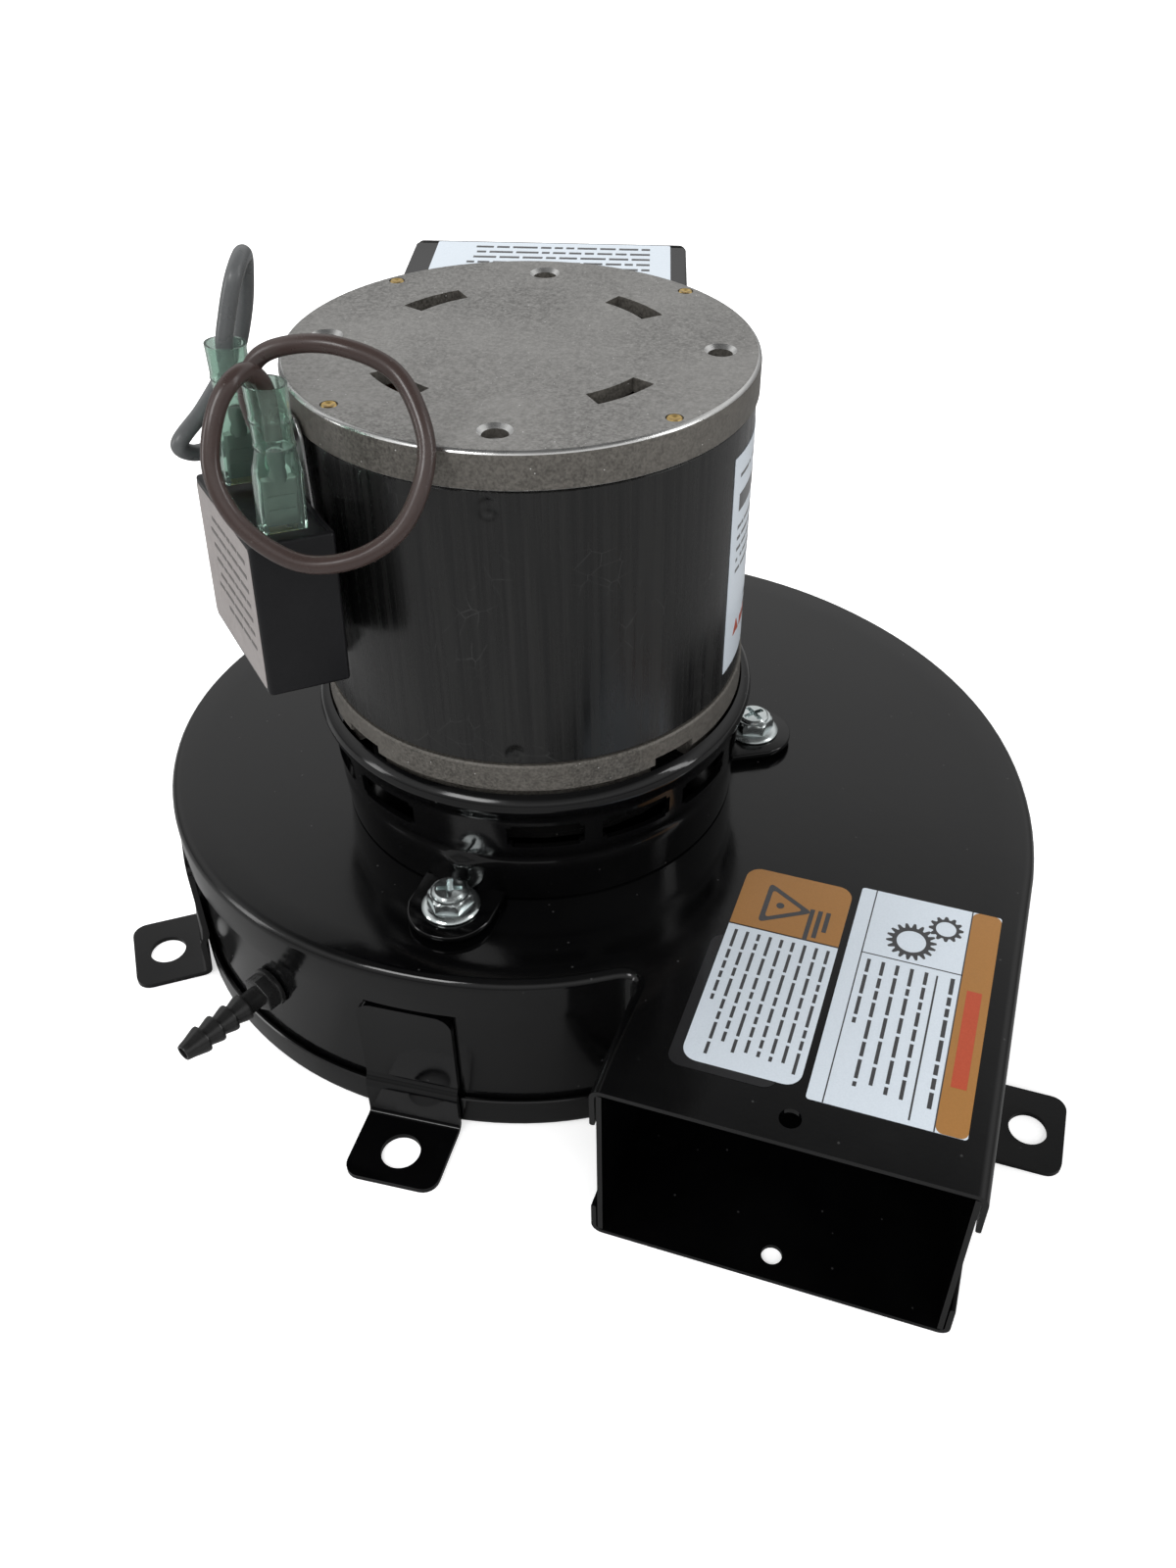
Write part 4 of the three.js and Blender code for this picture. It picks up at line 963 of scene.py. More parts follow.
def screw_head(sides=72):
    """Flange, hexagon with its corners cut by a cone, and a low round top, as radius against angle and
    level."""
    angle = np.arange(sides) * 360 / sides
    hexagon = hexagon_radius(angle)
    levels = []
    for radius, height in [(0, -0.0), (5.4, 0), (5.7, 0.15), (5.75, 0.5), (5.5, 0.8), (4.9, 1.15)]:
        levels.append((np.full(sides, radius), height))
    for cone, height in [(4.62, 1.25), (4.62, 3.1), (4.3, 3.6), (3.9, 3.95), (3.6, 4.05)]:
        levels.append((np.minimum(hexagon, cone), height))
    for radius, height in [(3.45, 4.05), (3.35, 4.4), (2.9, 4.75), (1.5, 4.85), (0, 4.88)]:
        levels.append((np.full(sides, radius), height))
    rows = [polar(radius, angle, height) for radius, height in levels]
    return grid(np.stack(rows), wrap_columns=True)


def build_adapter_screws():
    seat = TAB_BOTTOM + TAB_THICKNESS + 0.05
    for side, azimuth in SCREW_AZIMUTHS.items():
        def seated(part, turn):
            return moved(turned_about_axis(part, azimuth + turn), *polar(SCREW_CIRCLE, azimuth, seat))
        shank = lathe([(0, -7), (1.4, -7), (2.2, -6), (2.2, 0.4), (0, 0.4)], 32)
        head = make_object("head", seated(screw_head(), 14))
        boolean(head, seated(shank, -azimuth), "UNION")
        for turn in (20, 110):
            recess = slab(rounded_rectangle(-2.5, 2.5, -0.55, 0.55, 0.3), 3.2, 7)
            boolean(head, seated(recess, turn), "DIFFERENCE")
        finish(head, "washer_screw_" + side, ZINC, "adapter_screw_" + side, smooth=28)


# ---- Motor --------------------------------------------------------------------------------------

SHELL_RADIUS = 42
SHIELD_RADIUS = 42.5
SPIGOT_RADIUS = SHELL_RADIUS - 1.3
ADAPTER_TOP = 72.3
SHELL_BOTTOM = 78.6
SHELL_TOP = 134.4
MOTOR_TOP = 141.2
MOTOR_TURN = -75.4
POCKET = 8
BOSS = 12.5
SHIELD_WALL = 38.5
THREAD_CORE = 1.95
THREAD_CREST = 2.25
THREAD_PITCH = 0.7
THROUGH_SCREW_CIRCLE = 35.1
QUARTERS = (0, 90, 180, 270)
PIN_CIRCLE = 39.6


def arc_block(inner, outer, azimuth, half_angle, low, high, steps=8):
    """A piece of a ring between two azimuths."""
    angle = np.linspace(azimuth - half_angle, azimuth + half_angle, steps + 1)
    outline = np.concatenate([polar(outer, angle, 0)[:, :2], polar(inner, angle[::-1], 0)[:, :2]])
    return slab(outline, low, high)


def build_top_shield():
    """A cap with a bearing pocket, four threaded holes, four pin holes and four curved windows."""
    flat = MOTOR_TOP - 2.6
    body = [
        (0.01, 137.2), (POCKET, 137.2), (POCKET, 126.5), (BOSS, 126.5), (BOSS, flat), (SHIELD_WALL, flat),
        (SHIELD_WALL, 130), (SPIGOT_RADIUS, 130), (SPIGOT_RADIUS, SHELL_TOP),
        (SHIELD_RADIUS - 0.3, SHELL_TOP), (SHIELD_RADIUS, SHELL_TOP + 0.3),
        (SHIELD_RADIUS, MOTOR_TOP - 1.0), (SHIELD_RADIUS - 0.1, MOTOR_TOP - 0.6),
        (SHIELD_RADIUS - 0.35, MOTOR_TOP - 0.25), (SHIELD_RADIUS - 0.7, MOTOR_TOP - 0.05),
        (SHIELD_RADIUS - 1.1, MOTOR_TOP), (0.01, MOTOR_TOP),
    ]
    thread = [(0, 120), (THREAD_CORE, 120)]
    for i in range(6):
        height = 135 + i * THREAD_PITCH
        thread += [(THREAD_CORE, height), (THREAD_CREST, height + THREAD_PITCH / 2)]
    thread += [(2.2, MOTOR_TOP - 0.7), (3.0, MOTOR_TOP + 0.05), (3.0, 145), (0, 145)]
    cuts = []
    for quarter in QUARTERS:
        screw = MOTOR_TURN + quarter
        cuts.append(moved(lathe(thread, 40), *polar(THROUGH_SCREW_CIRCLE, screw, 0)))
        cuts.append(hole_round_axis(PIN_CIRCLE, screw + 45, 1.5, MOTOR_TOP - 5, 150))
        cuts.append(arc_block(24.2, 28.6, screw + 45, 12.5, 120, 150))
    shield = piece("top_end_shield", lathe(body, 180), ALUMINIUM, "end_shield_top", cuts=cuts)
    finish_shield_faces(shield)


def finish_shield_faces(thing):
    """The rim and the mouths of the screw holes, which slope, get bright machined metal, which on the rim is
    a painted highlight; upright faces, vent and hole walls among them, get the darker copy as painted shade.
    """
    mesh = thing.data
    mesh.materials.append(MACHINED_AND_HIGHLIGHT)
    mesh.materials.append(ALUMINIUM_SHADED)
    normals, centres = np.empty((2, len(mesh.polygons) * 3))
    mesh.polygons.foreach_get("normal", normals)
    mesh.polygons.foreach_get("center", centres)
    slope = np.abs(normals[2::3])
    sloping = (slope > 0.3) & (slope < 0.95) & (centres[2::3] > (MOTOR_TOP - 1.4) * MM)
    # Index 1 is the bright metal, a painted highlight on the rim; index 2 is the darker copy, painted shade
    # on upright faces.
    chosen = np.select([sloping, slope < 0.3], [1, 2], 0)
    mesh.polygons.foreach_set("material_index", chosen.astype(np.int32))


def build_shield_pins():
    """A straight pin with a rolled edge and a dished end."""
    pin = [(0, -4.7), (1.35, -4.7), (1.35, -0.12), (1.15, 0.08), (0.5, -0.05), (0, -0.25)]
    for i, quarter in enumerate(QUARTERS):
        name = f"shield_pin_{i + 1}"
        placed = moved(lathe(pin, 32), *polar(PIN_CIRCLE, MOTOR_TURN + 45 + quarter, MOTOR_TOP))
        piece("brass_" + name, placed, BRASS, name)


STAKES = [  # azimuth, height, size
    (-76.5, 131.2, 1.7), (-73.6, 81.2, 1.5), (103.5, 131.2, 1.7), (106.4, 81.2, 1.5),
]
GROMMET_AZIMUTH = -165
GROMMET_HEIGHT = 122
GROMMET_HOLE = 4.6
DENT_DEPTH = 0.8
SHELL_WALL = 1


def shell_dent(azimuth, height):
    """Depth of the staking marks: round dimples that each fall off as a Gaussian."""
    depth = 0.0
    for stake, level, size in STAKES:
        sideways = ((azimuth - stake + 180) % 360 - 180) * math.radians(SHELL_RADIUS)
        depth = depth + DENT_DEPTH * np.exp(-((sideways**2 + (height - level) ** 2) / size**2) ** 1.5)
    return depth


def at_grommet(part):
    """A part made along +Z, laid down to point out of the shell where the leads go in."""
    return moved(turned_about_axis(laid_outward(part), GROMMET_AZIMUTH), z=GROMMET_HEIGHT)


def build_shell():
    """Radius against azimuth and height, less the dents, outside; a plain bore inside."""
    coarse = np.arange(0, 360, 1.5)
    close = [stake % 360 + step for stake, _, _ in STAKES for step in np.arange(-4, 4.1, 0.5)]
    azimuths = np.unique(np.round(np.concatenate([coarse, np.mod(close, 360)]), 2))
    low, high = SHELL_BOTTOM + GAP, SHELL_TOP - GAP
    heights = np.unique(np.concatenate([
        [low, low + 0.25], np.linspace(low + 0.4, low + 6, 12), np.linspace(low + 6, high - 7, 10),
        np.linspace(high - 7, high - 0.4, 14), [high - 0.25, high],
    ]))
    ease = np.where((heights == low) | (heights == high), 0.25, 0)
    outer = SHELL_RADIUS - ease[None] - shell_dent(azimuths[:, None], heights[None])
    skin = polar(outer, azimuths[:, None], heights[None])
    bore = polar(SHELL_RADIUS - SHELL_WALL, azimuths[:, None], np.array([[high, low]]))
    body = grid(np.concatenate([skin, bore], 1), wrap_rows=True, wrap_columns=True)
    drill = at_grommet(slab(circle(GROMMET_HOLE + 0.2, 40), 34, 50))
    piece("motor_shell_tube", body, ENAMEL, "motor_shell", cuts=[drill])


def build_bottom_shield():
    """A cup with a notched ring at its foot, a bearing pocket and four curved windows."""
    floor = ADAPTER_TOP - 2.8
    rim = SHIELD_RADIUS
    body = [
        (6, floor), (14, floor), (14, 73.5), (36, 73.5), (36, floor), (41, floor), (41, ADAPTER_TOP + GAP),
        (rim - 0.3, ADAPTER_TOP + GAP), (rim, ADAPTER_TOP + GAP + 0.3), (rim, SHELL_BOTTOM - 0.35),
        (rim - 0.35, SHELL_BOTTOM), (SPIGOT_RADIUS, SHELL_BOTTOM), (SPIGOT_RADIUS, 83), (SHIELD_WALL, 83),
        (SHIELD_WALL, 77), (BOSS, 77), (BOSS, 84), (POCKET, 84), (POCKET, 72), (6, 72),
    ]
    cuts = []
    for quarter in QUARTERS:
        azimuth = MOTOR_TURN - 45 + quarter
        cuts.append(arc_block(34, 46, azimuth, 6.5, 60, 74.6))
        cuts.append(arc_block(18, 32, azimuth, 24, 60, 90))
    # The bottom shield takes the darker copy of the cast aluminium, the same one that paints shade on the top
    # shield's upright faces.
    piece("bottom_end_shield", lathe(body, 180), ALUMINIUM_SHADED, "end_shield_bottom", cuts=cuts)


# ---- Impeller -----------------------------------------------------------------------------------

IMPELLER_RADIUS = 54
IMPELLER_FLOOR = 5.5
IMPELLER_TOP = 38
BLADE_COUNT = 26
BLADE_START = 43
BLADE_SWEEP = 11
BLADE_WIDTH = 1.0
PLATE_BORE = 12
EYE_RADIUS = 42.6


def blade(turn):
    """A thin strip whose plan curves back as the square of the way out, raised over the blade height."""
    share = np.linspace(0, 1, 9)
    radius = BLADE_START + share * (IMPELLER_RADIUS - 0.4 - BLADE_START)
    azimuth = turn - BLADE_SWEEP * share**2
    front = polar(radius, azimuth, 0)[:, :2]
    back = polar(radius, azimuth + BLADE_WIDTH, 0)[::-1, :2]
    return slab(np.concatenate([front, back]), IMPELLER_FLOOR + 0.5, IMPELLER_TOP - 0.5)


def washer(bore, low):
    """A flat ring of the impeller's outer radius, one sheet thick, with soft edges."""
    outer, high = IMPELLER_RADIUS, low + SHEET
    return lathe(rounded([(bore, low), (outer, low), (outer, high), (bore, high)], 0.3), 120)


def build_impeller():
    plate = washer(PLATE_BORE, IMPELLER_TOP - SHEET)
    rim = washer(EYE_RADIUS, IMPELLER_FLOOR)
    blades = joined(*[blade(i * 360 / BLADE_COUNT) for i in range(BLADE_COUNT)])
    piece("blower_wheel", plate, BARE_STEEL, "impeller_wheel", "rotor", adds=[rim, blades])


# ---- Capacitor and its wiring -------------------------------------------------------------------

CASE_WIDTH = 35.6
CASE_DEPTH = 14.2
CASE_HEIGHT = 27.2
CASE_AZIMUTH = -133.3
CASE_SHIFT = -4.2
CASE_MIDDLE = 110.2
CASE_ROLL = 5.8
CASE_PITCH = 3.9
CASE_BACK = SHELL_RADIUS + 2.5
TERMINALS = {"front": (-16.2, 125.0), "rear": (7.1, 122.8)}
TERMINAL_REACH = 51
LEAD_RADIUS = 1.45


def beside_case(part):
    """From a frame on the shell (x along it, y outwards, z up) to the capacitor's side of the motor."""
    return turned_about_axis(part, CASE_AZIMUTH - 90)


def tipped(part):
    """Tips a part about its own x axis, so that its top leans towards the motor."""
    return turned(part, CASE_PITCH, 0)


def on_case(part):
    """From a frame at the middle of the capacitor's case, which leans along the shell and towards it."""
    leaned = turned(tipped(part), CASE_ROLL, 1)
    return beside_case(moved(leaned, CASE_SHIFT, CASE_BACK + CASE_DEPTH / 2, CASE_MIDDLE))


def build_capacitor():
    """A box with soft edges and a shallow well in the top, where the resin lies below the wall."""
    half_x, half_y, top = CASE_WIDTH / 2, CASE_DEPTH / 2, CASE_HEIGHT / 2
    wall = 1.1
    case = slab(rounded_rectangle(-half_x, half_x, -half_y, half_y, 0.9, 4), -top, top, 0.5, 3)
    resin = rounded_rectangle(wall - half_x, half_x - wall, wall - half_y, half_y - wall, 0.6, 4)
    well = slab(resin, top - 0.7, CASE_HEIGHT)
    piece("capacitor_case", on_case(case), CASE_BLACK, "capacitor", cuts=[on_case(well)])


def build_capacitor_bracket():
    """An upright strap plate with a folded shelf."""
    plate_face = SHIELD_RADIUS + GAP
    outline = np.array([(-6, 91), (3, 91), (3, 135), (1, 137.5), (-4, 137.5), (-6, 135)], float)
    plate = moved(swapped(slab(rounded(outline, 0.8), 0, 0.6, 0.15), (0, 2, 1)), y=plate_face)
    shelf = slab(rounded_rectangle(-6, 3, plate_face, TERMINAL_REACH + 0.6, 0.5), 91, 92, 0.2)
    piece("strap_plate", beside_case(plate), BARE_STEEL, "capacitor_bracket", adds=[beside_case(shelf)])


BOOT_LEVELS = [  # height, half thickness, half width, corner radius
    (0.8, 1.98, 3.7, 0.7), (1.2, 2.05, 3.75, 0.8), (10.0, 2.05, 3.75, 0.8), (10.6, 2.2, 3.7, 1.0),
    (14.4, 3.1, 3.15, 3.0), (14.9, 3.4, 3.4, 3.35), (15.4, 3.2, 3.2, 3.15), (18.3, 3.2, 3.2, 3.15),
    (18.8, 3.42, 3.42, 3.38), (19.3, 3.25, 3.25, 3.2), (24.0, 3.4, 3.4, 3.35),
]
BOOT_WALL = 0.45
BOOT_COLLAR = 14.6
BOOT_MOUTH = 24.0
BOOT_BEND = 2.4


def boot():
    """Rounded rectangles stacked up the boot: a flat sleeve, tapered shoulders, a neck with two beads
    and a flared mouth, with the same inside, one wall smaller."""
    heights, thicknesses, widths, corners = np.array(BOOT_LEVELS).T
    levels = np.unique(np.concatenate([np.linspace(heights[0], heights[-1], 40), heights]))
    columns = [np.interp(levels, heights, column) for column in (thicknesses, widths, corners)]
    outer = []
    inner = []
    for z, half_x, half_y, corner in zip(levels, *columns):
        middle = BOOT_BEND * max(z - BOOT_COLLAR, 0) / (BOOT_MOUTH - BOOT_COLLAR)
        for rows, wall in ((outer, 0), (inner, BOOT_WALL)):
            x, y = half_x - wall, half_y - wall
            line = rounded_rectangle(middle - x, middle + x, -y, y, min(corner, x - 0.01, y - 0.01), 8)
            rows.append(upright(line, z))
    return grid(np.stack(outer + inner[::-1]), wrap_rows=True, wrap_columns=True)


def build_terminals():
    """At each terminal: the clear boot, the crimped sleeve inside it and the blade it is pushed on."""
    for side, (along, base) in TERMINALS.items():
        def place(part):
            return beside_case(moved(tipped(part), along, TERMINAL_REACH, base))
        piece("boot_" + side + "_vinyl", place(boot()), VINYL, "boot_" + side, smooth=60)
        sleeve = make_object("sleeve", place(slab(rounded_rectangle(-1, 1, -2.9, 2.9, 0.8), 1.5, 9.5, 0.2)))
        barrel = lathe([(0.95, 9), (1.4, 9), (1.4, 10.4), (1.2, 11.2), (1.4, 12), (1.4, 14), (0.95, 14)], 32)
        boolean(sleeve, place(slab(rounded_rectangle(-0.55, 0.55, -2.6, 2.6, 0.3), 0, 9)), "DIFFERENCE")
        boolean(sleeve, place(barrel), "UNION")
        for level in (4.2, 6.6):
            ridge = slab(rounded_rectangle(-2.2, 2.2, level - 0.3, level + 0.3, 0.25), -1.3, -0.8)
            boolean(sleeve, place(swapped(ridge, (2, 0, 1))), "UNION")
        finish(sleeve, "crimp_" + side, TIN, "receptacle_" + side)
        tab = slab(rounded_rectangle(-0.3, 0.3, -2.4, 2.4, 0.2), 0.2, 8, 0.1)
        piece("spade_" + side, place(tab), BRASS, "terminal_" + side)


BROWN_ROUTE = [
    (-22.7, -47.2, 140.5), (-23.9, -45.6, 148.6), (-24.5, -48.4, 151.8), (-25, -52.2, 151.6),
    (-26.2, -55.4, 148.2), (-26, -59.5, 140.5), (-21.5, -61.5, 133.5), (-13, -60.5, 128),
    (-5, -57.5, 128.5), (0.5, -53, 132),
    (2.5, -47, 138.5), (1.5, -43.5, 144), (-4.5, -39.5, 151), (-13, -40.3, 154.2), (-21.5, -40.8, 153.4),
    (-27.5, -40.6, 150.4), (-30.8, -40, 145), (-31.8, -38.2, 138.5), (-32.5, -34, 133), (-35, -28.3, 131),
    (-41.3, -23, 130.3), (-47, -17, 129), (-50.5, -13.6, 126), (-48, -12.8, 123.7), (-42.3, -11.3, 123.7),
]
GREY_ROUTE = [
    (-40, -30.9, 139), (-40.9, -29.6, 146), (-39.9, -28.8, 151), (-38, -27.5, 157.5), (-39, -22.5, 159.3),
    (-41, -20, 154.5), (-43, -19.3, 148), (-45.6, -20.3, 140.5), (-47.2, -24.5, 136.5), (-47.6, -30, 133.8),
    (-49.5, -35.5, 129.8), (-49.3, -32.5, 127), (-48.5, -26, 125.5), (-49, -19.5, 123.5), (-50.5, -14.5, 121),
    (-48, -13, 120.3), (-42.3, -11.3, 120.3),
]


def build_leads():
    for colour, route, material in (("brown", BROWN_ROUTE, BROWN_PVC), ("grey", GREY_ROUTE, GREY_PVC)):
        lead = tube(smooth_route(route), LEAD_RADIUS)
        piece("lead_wire_" + colour, lead, material, "lead_" + colour, smooth=60)


def build_grommet():
    bore = GROMMET_HOLE - 0.8
    flange = GROMMET_HOLE + 1.4
    profile = rounded([
        (bore, SHELL_RADIUS - 2), (GROMMET_HOLE, SHELL_RADIUS - 2), (GROMMET_HOLE, SHELL_RADIUS + GAP),
        (flange, SHELL_RADIUS + GAP), (flange, SHELL_RADIUS + 1.6), (bore, SHELL_RADIUS + 1.6),
    ], 0.4)
    piece("rubber_grommet", at_grommet(lathe(profile, 48)), RUBBER, "lead_grommet")


# ---- Wiring box ---------------------------------------------------------------------------------

BOX_AZIMUTH = 107
BOX_HALF = 30
BOX_NEAR = SHELL_RADIUS + 0.6
BOX_FAR = BOX_NEAR + 32
BOX_BOTTOM = 84
BOX_TOP = 134


def at_box(part):
    return turned_about_axis(part, BOX_AZIMUTH)


def build_wiring_box():
    """An open case with thin walls and a flat cover over its outer side."""
    wall = 1
    case_end = BOX_FAR - 1.3
    outline = rounded_rectangle(BOX_NEAR, case_end, -BOX_HALF, BOX_HALF, 0.8, 4)
    inside = BOX_HALF - wall
    hollow = box((BOX_NEAR + wall, BOX_FAR + 5), (-inside, inside), (BOX_BOTTOM + wall, BOX_TOP - wall))
    case = at_box(slab(outline, BOX_BOTTOM, BOX_TOP, 0.6))
    piece("wiring_box_case", case, PAINT, "wiring_box", cuts=[at_box(hollow)])
    cover = slab(rounded_rectangle(-BOX_HALF, BOX_HALF, BOX_BOTTOM, BOX_TOP, 1.5), BOX_FAR - 1, BOX_FAR, 0.25)
    piece("wiring_box_lid", at_box(swapped(cover, (2, 0, 1))), PAINT, "wiring_box_cover")


# ---- Labels -------------------------------------------------------------------------------------

GLUE = 0.02
FILM = 0.12
INK = 0.03


def film(place, outline, low, high):
    """A flat outline in the label's own plane given a thickness and then laid in its place."""
    return place(slab(np.asarray(outline, float), low, high))


def strip(place, left, right, bottom, top, low, high, step):
    """A thin sheet cut across into short lengths, so that it can follow a curved face."""
    count = max(2, int((right - left) / step) + 1)
    x = np.linspace(left, right, count)
    corners = [(bottom, low), (top, low), (top, high), (bottom, high)]
    points = np.stack([np.column_stack([x, np.full(count, y), np.full(count, z)]) for y, z in corners], 1)
    body, faces = grid(points, wrap_columns=True)
    last = len(body)
    return place((body, faces + [[0, 1, 2, 3], [last - 1, last - 2, last - 3, last - 4]]))


def print_bar(place, left, right, bottom, top, lift=FILM):
    return strip(place, left, right, bottom, top, lift, lift + INK, 2.0)


def text_rows(place, random, left, right, top, pitch, rows, height, last=0.6):
    """Rows of bars of random lengths with word spaces, standing for lines of writing."""
    bars = []
    for row in range(rows):
        end = right if row < rows - 1 else left + (right - left) * last
        end -= random.uniform(0, 0.12) * (right - left)
        x = left
        y = top - row * pitch
        while x < end - 1:
            length = min(random.uniform(1.6, 5.5), end - x)
            bars.append(print_bar(place, x, x + length, y - height, y))
            x += length + 0.75
    return bars


def label(name, layers):
    """One sticker: each layer is a material and its parts."""
    parts = [joined(*layer) for _, layer in layers]
    thing = make_object(name, joined(*parts), merge=False)
    layer_of_face = np.repeat(np.arange(len(parts)), [len(faces) for _, faces in parts])
    thing.data.polygons.foreach_set("material_index", layer_of_face.astype(np.int32))
    for material, _ in layers:
        thing.data.materials.append(material)
    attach(thing, "housing")


def on_lid(part):
    """Label x runs towards the outlet and label y to the right of it."""
    return moved(swapped(part, (1, 0, 2), (1, -1, 1)), z=HOUSING_HEIGHT)


def outline_band(place, outer, inner, lift=FILM):
    """The band between two outlines with the same number of points."""
    rows = [(outer, lift), (outer, lift + INK), (inner, lift + INK), (inner, lift)]
    points = np.stack([upright(line, height) for line, height in rows])
    return place(grid(points, wrap_rows=True, wrap_columns=True))


def triangle(x, y, reach, rounding):
    corners = [(x + reach * math.cos(a), y + reach * math.sin(a)) for a in np.radians([90, 210, 330])]
    return rounded(corners, rounding, 5)


def gear_ring(place, x, y, radius, teeth, turn):
    """A toothed ring: the radius steps between root and tip."""
    angle = np.linspace(0, 2 * np.pi, teeth * 8, endpoint=False)
    tooth = np.clip(np.cos(angle * teeth) * 3, -1, 1)
    ray = np.column_stack([np.cos(angle + turn), np.sin(angle + turn)])
    outer = (x, y) + (radius * (1 + 0.13 * tooth))[:, None] * ray
    return outline_band(place, outer, (x, y) + radius * 0.66 * ray)


def build_left_lid_label():
    random = np.random.default_rng(11)
    left, right, head = 17.0, 68.0, 33.5
    near, far = 52.3, 74.0
    middle = (near + far) / 2
    stock = rounded_rectangle(left, right, near, far, 3.0, 8)
    header = stock[stock[:, 0] < head]
    header = np.concatenate([header, [(head, near), (head, far)]])
    header = header[np.argsort(np.arctan2(header[:, 1] - middle, header[:, 0] - 27))]
    carrier = rounded_rectangle(left + 20, right + 1.8, near - 2.1, far - 4, 2.5, 6)
    sign_x, sign_y = 26.0, near + 8.5
    sign, sign_hole = triangle(sign_x, sign_y, 6.6, 1.4), triangle(sign_x, sign_y, 4.6, 1.0)
    ink = [
        outline_band(on_lid, sign, sign_hole, FILM + INK),
        film(on_lid, circle(0.8, 24, sign_x, sign_y), FILM + INK, FILM + 2 * INK),
        print_bar(on_lid, head - 0.15, head + 0.15, near, far),
    ]
    for row, length in enumerate((5.5, 7.5, 8.5)):
        bottom = far - 4.0 - row * 1.6
        ink.append(print_bar(on_lid, 25, 25 + length, bottom, bottom + 0.9, FILM + INK))
    ink += text_rows(on_lid, random, head + 1.4, right - 2.0, far - 1.3, 2.28, 9, 0.62)
    label("lid_label_left", [
        (CLEAR_CARRIER, [film(on_lid, carrier, GLUE, 0.08)]),
        (WHITE_FILM, [film(on_lid, stock, GLUE, FILM)]),
        (ORANGE_FILM, [film(on_lid, header, FILM - 0.01, FILM + INK)]),
        (BLACK_INK, ink),
    ])


def build_right_lid_label():
    random = np.random.default_rng(23)
    left, right = 15.6, 69.7
    near, far = 75.5, 103.4
    band = 97.8
    rule = 78.5
    cell = 33.0
    stock = rounded_rectangle(left, right, near, far, 0.6, 4)
    header = rounded_rectangle(left, right, band, far, 1.4, 6)
    ink = [
        print_bar(on_lid, left, right, rule - 0.12, rule + 0.12),
        print_bar(on_lid, left, right, band - 0.25, band),
        print_bar(on_lid, cell - 0.12, cell + 0.12, rule, band),
        gear_ring(on_lid, 22.0, 93.2, 3.0, 12, 0.1),
        gear_ring(on_lid, 27.4, 87.2, 4.3, 18, 0.0),
        print_bar(on_lid, cell + 1.6, right - 1.0, 93.1, 93.45),
    ]
    ink += text_rows(on_lid, random, cell + 1.4, right - 1.6, 96.6, 2.9, 1, 0.8, last=1.0)
    ink += text_rows(on_lid, random, cell + 1.4, right - 1.6, 91.6, 2.75, 5, 0.7)
    big = [print_bar(on_lid, 36.5, 59.5, band + 1.3, far - 1.5, FILM + INK)]
    label("lid_label_right", [
        (WHITE_FILM, [film(on_lid, stock, GLUE, FILM)]),
        (ORANGE_FILM, [film(on_lid, header, FILM - 0.01, FILM + INK)]),
        (BLACK_INK, ink),
        (RED_INK, big),
    ])


PLATE_START = -9.0
PLATE_SPAN = 69.0
PLATE_BOTTOM = 83.0
PLATE_TOP = 128.6


def on_shell(part):
    """Label x wraps round the shell and label y runs up it."""
    points, faces = part
    points = np.asarray(points)
    azimuth = PLATE_START + np.degrees(points[:, 0] / SHELL_RADIUS)
    return polar(SHELL_RADIUS + points[:, 2], azimuth, PLATE_BOTTOM + points[:, 1]), faces


def build_nameplate():
    random = np.random.default_rng(5)
    length = math.radians(PLATE_SPAN) * SHELL_RADIUS
    height = PLATE_TOP - PLATE_BOTTOM
    ink = text_rows(on_shell, random, 3, length - 3, height - 4, 2.2, 1, 0.7, last=1.0)
    ink += [print_bar(on_shell, 3, 21, height - 11.5, height - 8)]
    ink += text_rows(on_shell, random, 3, length - 3, height - 14.5, 2.3, 5, 0.7)
    ink += text_rows(on_shell, random, 12, length - 6, 12, 2.3, 3, 0.7)
    mark = [
        film(on_shell, triangle(6, 7.5, 2.2, 0.4), FILM, FILM + INK),
        print_bar(on_shell, 8.6, 14, 6.4, 8.4),
    ]
    label("motor_rating_label", [
        (WHITE_FILM, [strip(on_shell, 0, length, 0, height, 0.03, FILM, 1.0)]),
        (BLACK_INK, ink),
        (RED_INK, mark),
    ])


def on_box_top(part):
    """Label x runs along the back edge of the wiring box and label y away from the motor."""
    return at_box(moved(swapped(part, (1, 0, 2)), x=BOX_NEAR, z=BOX_TOP))


def build_box_label():
    random = np.random.default_rng(31)
    outline = rounded_rectangle(-26.5, 25, 6, 31, 0.6, 3)
    ink = text_rows(on_box_top, random, -22, 21, 28.5, 3.2, 7, 1.1, last=0.7)
    label("wiring_box_label", [
        (WHITE_FILM, [film(on_box_top, outline, GLUE, FILM)]),
        (BLACK_INK, ink),
    ])


def on_case_face(part):
    """Label x runs along the capacitor's outer face and label y up it."""
    return on_case(moved(swapped(part, (0, 2, 1)), y=CASE_DEPTH / 2))


def build_case_print():
    random = np.random.default_rng(47)
    outline = rounded_rectangle(-17, 17, -12.6, 12.6, 0.8, 4)
    ink = text_rows(on_case_face, random, -13.5, 11, 9.5, 2.6, 7, 0.7, last=0.8)
    label("capacitor_face_print", [
        (PRINTED_FACE, [film(on_case_face, outline, GLUE, 0.1)]),
        (PRINT_GREY, ink),
    ])


# ---- What stays as the frame made it ------------------------------------------------------------

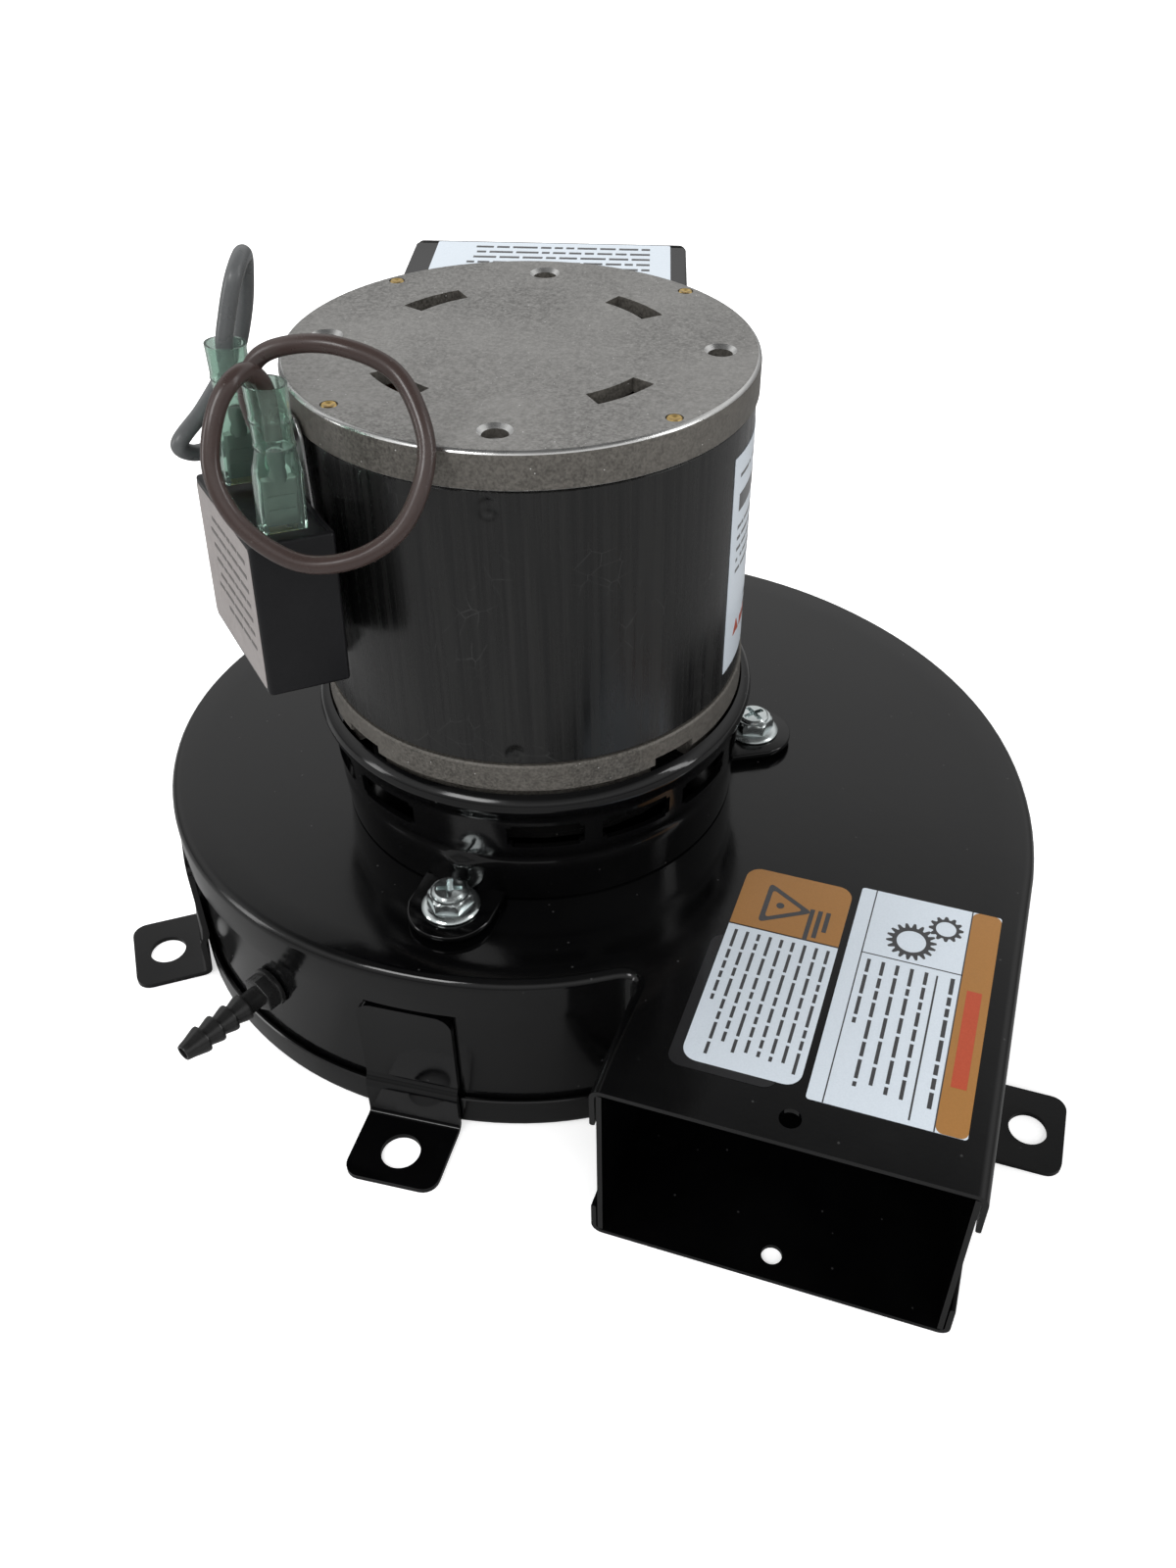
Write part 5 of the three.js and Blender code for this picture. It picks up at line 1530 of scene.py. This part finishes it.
KEPT_NODES = {
    "stator_core": LAMINATION,
    "rotor_core": LAMINATION,
    "winding_top": COPPER,
    "winding_bottom": COPPER,
    "thermal_protector": NYLON_BLACK,
    "shaft": BARE_STEEL,
    "bearing_top": BRASS,
    "bearing_bottom": BRASS,
    "thrust_washer": BARE_STEEL,
    "cooling_fan": NYLON_BLACK,
    "impeller_hub": BARE_STEEL,
    "impeller_setscrew": ZINC,
    "shaft_seal": FIBRE,
}


def finish_kept_nodes():
    for name, material in KEPT_NODES.items():
        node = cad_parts[name]
        node.data.materials.clear()
        node.data.materials.append(material)


# ---- Stage --------------------------------------------------------------------------------------


def emitter(name, place, aim, size, power):
    """A soft box at a place, pointing at another, both in metres."""
    data = bpy.data.lights.new(name, "AREA")
    data.shape = "RECTANGLE"
    data.size, data.size_y = size
    data.energy = power
    lamp = bpy.data.objects.new(name, data)
    lamp.location = place
    lamp.rotation_euler = (Vector(aim) - Vector(place)).to_track_quat("-Z", "Y").to_euler()
    bpy.context.scene.collection.objects.link(lamp)
    return lamp


def build_stage():
    """A pale floor that stays white to the camera and shows the gloss only a dim image of itself."""
    reach = 3.0
    corners = [(-reach, -reach, 0), (reach, -reach, 0), (reach, reach, 0), (-reach, reach, 0)]
    mesh = bpy.data.meshes.new("floor")
    mesh.from_pydata(corners, [], [(0, 1, 2, 3)])
    floor = bpy.data.objects.new("floor", mesh)
    bpy.context.scene.collection.objects.link(floor)
    settings = {"Roughness": 0.9, "Specular IOR Level": 0.0, "Emission Color": (1, 1, 1, 1)}
    material, tree = new_material("pale_floor", settings)
    shader = tree.nodes["Principled BSDF"]
    path = add(tree, "ShaderNodeLightPath").outputs
    tone = blend_colours(tree, object_noise(tree, 8.0), (0.86, 0.86, 0.86), (0.90, 0.90, 0.90))
    seen = blend_colours(tree, path["Is Glossy Ray"], tone, (0.34, 0.34, 0.34))
    tree.links.new(seen, shader.inputs["Base Color"])
    tree.links.new(maths(tree, "MULTIPLY", path["Is Camera Ray"], 0.55), shader.inputs["Emission Strength"])
    mesh.materials.append(material)


def build_lights():
    middle = (0, 0, 0.08)
    # The wide lights shade the matt surfaces only; the narrow ones draw highlights on the gloss.
    emitter("key", (-0.5, 0.3, 0.9), middle, (0.8, 0.6), 7).visible_glossy = False
    emitter("fill", (0.5, -0.9, 0.7), middle, (0.7, 0.5), 4).visible_glossy = False
    emitter("strip_right", (0.9, 0.1, 0.5), middle, (0.12, 0.8), 1.6)
    emitter("strip_left", (-0.9, -0.5, 0.3), middle, (0.2, 0.5), 1.4)
    # A soft box over the viewer's shoulder reaches only the round edges, wires and screw heads.
    emitter("round_edges", (-0.25, -0.75, 0.75), middle, (0.35, 0.25), 2.4)


def build_world():
    """White to the camera; for gloss a bright band half-way up that darkens towards the horizon and
    overhead; half as bright for shading."""
    world = bpy.data.worlds.new("studio")
    world.use_nodes = True
    tree = world.node_tree
    background = tree.nodes["Background"]
    path = add(tree, "ShaderNodeLightPath").outputs
    direction = add(tree, "ShaderNodeTexCoord").outputs["Generated"]
    height = add(tree, "ShaderNodeSeparateXYZ", None, {0: direction}).outputs["Z"]
    rise = remap(tree, height, 0.1, 0.5, 0.3, 0.78)
    fall = remap(tree, height, 0.64, 0.85, 1.0, 0.15)
    shading = maths(tree, "MULTIPLY", path["Is Diffuse Ray"], 0.5)
    glossy = maths(tree, "MULTIPLY", path["Is Glossy Ray"], maths(tree, "MULTIPLY", rise, fall))
    clear = maths(tree, "MULTIPLY", path["Is Transmission Ray"], 0.9)
    seen = maths(tree, "MAXIMUM", path["Is Camera Ray"], clear)
    strength = maths(tree, "MAXIMUM", maths(tree, "MAXIMUM", shading, glossy), seen)
    tree.links.new(strength, background.inputs["Strength"])
    background.inputs["Color"].default_value = (1, 1, 1, 1)
    bpy.context.scene.world = world
    bpy.context.scene.view_settings.view_transform = "Standard"


build_housing()
build_pressure_tap()
build_feet()
build_adapter()
build_adapter_screws()
build_top_shield()
build_shield_pins()
build_shell()
build_bottom_shield()
build_impeller()
build_capacitor()
build_capacitor_bracket()
build_terminals()
build_leads()
build_grommet()
build_wiring_box()
build_left_lid_label()
build_right_lid_label()
build_nameplate()
build_box_label()
build_case_print()
finish_kept_nodes()
build_stage()
build_lights()
build_world()
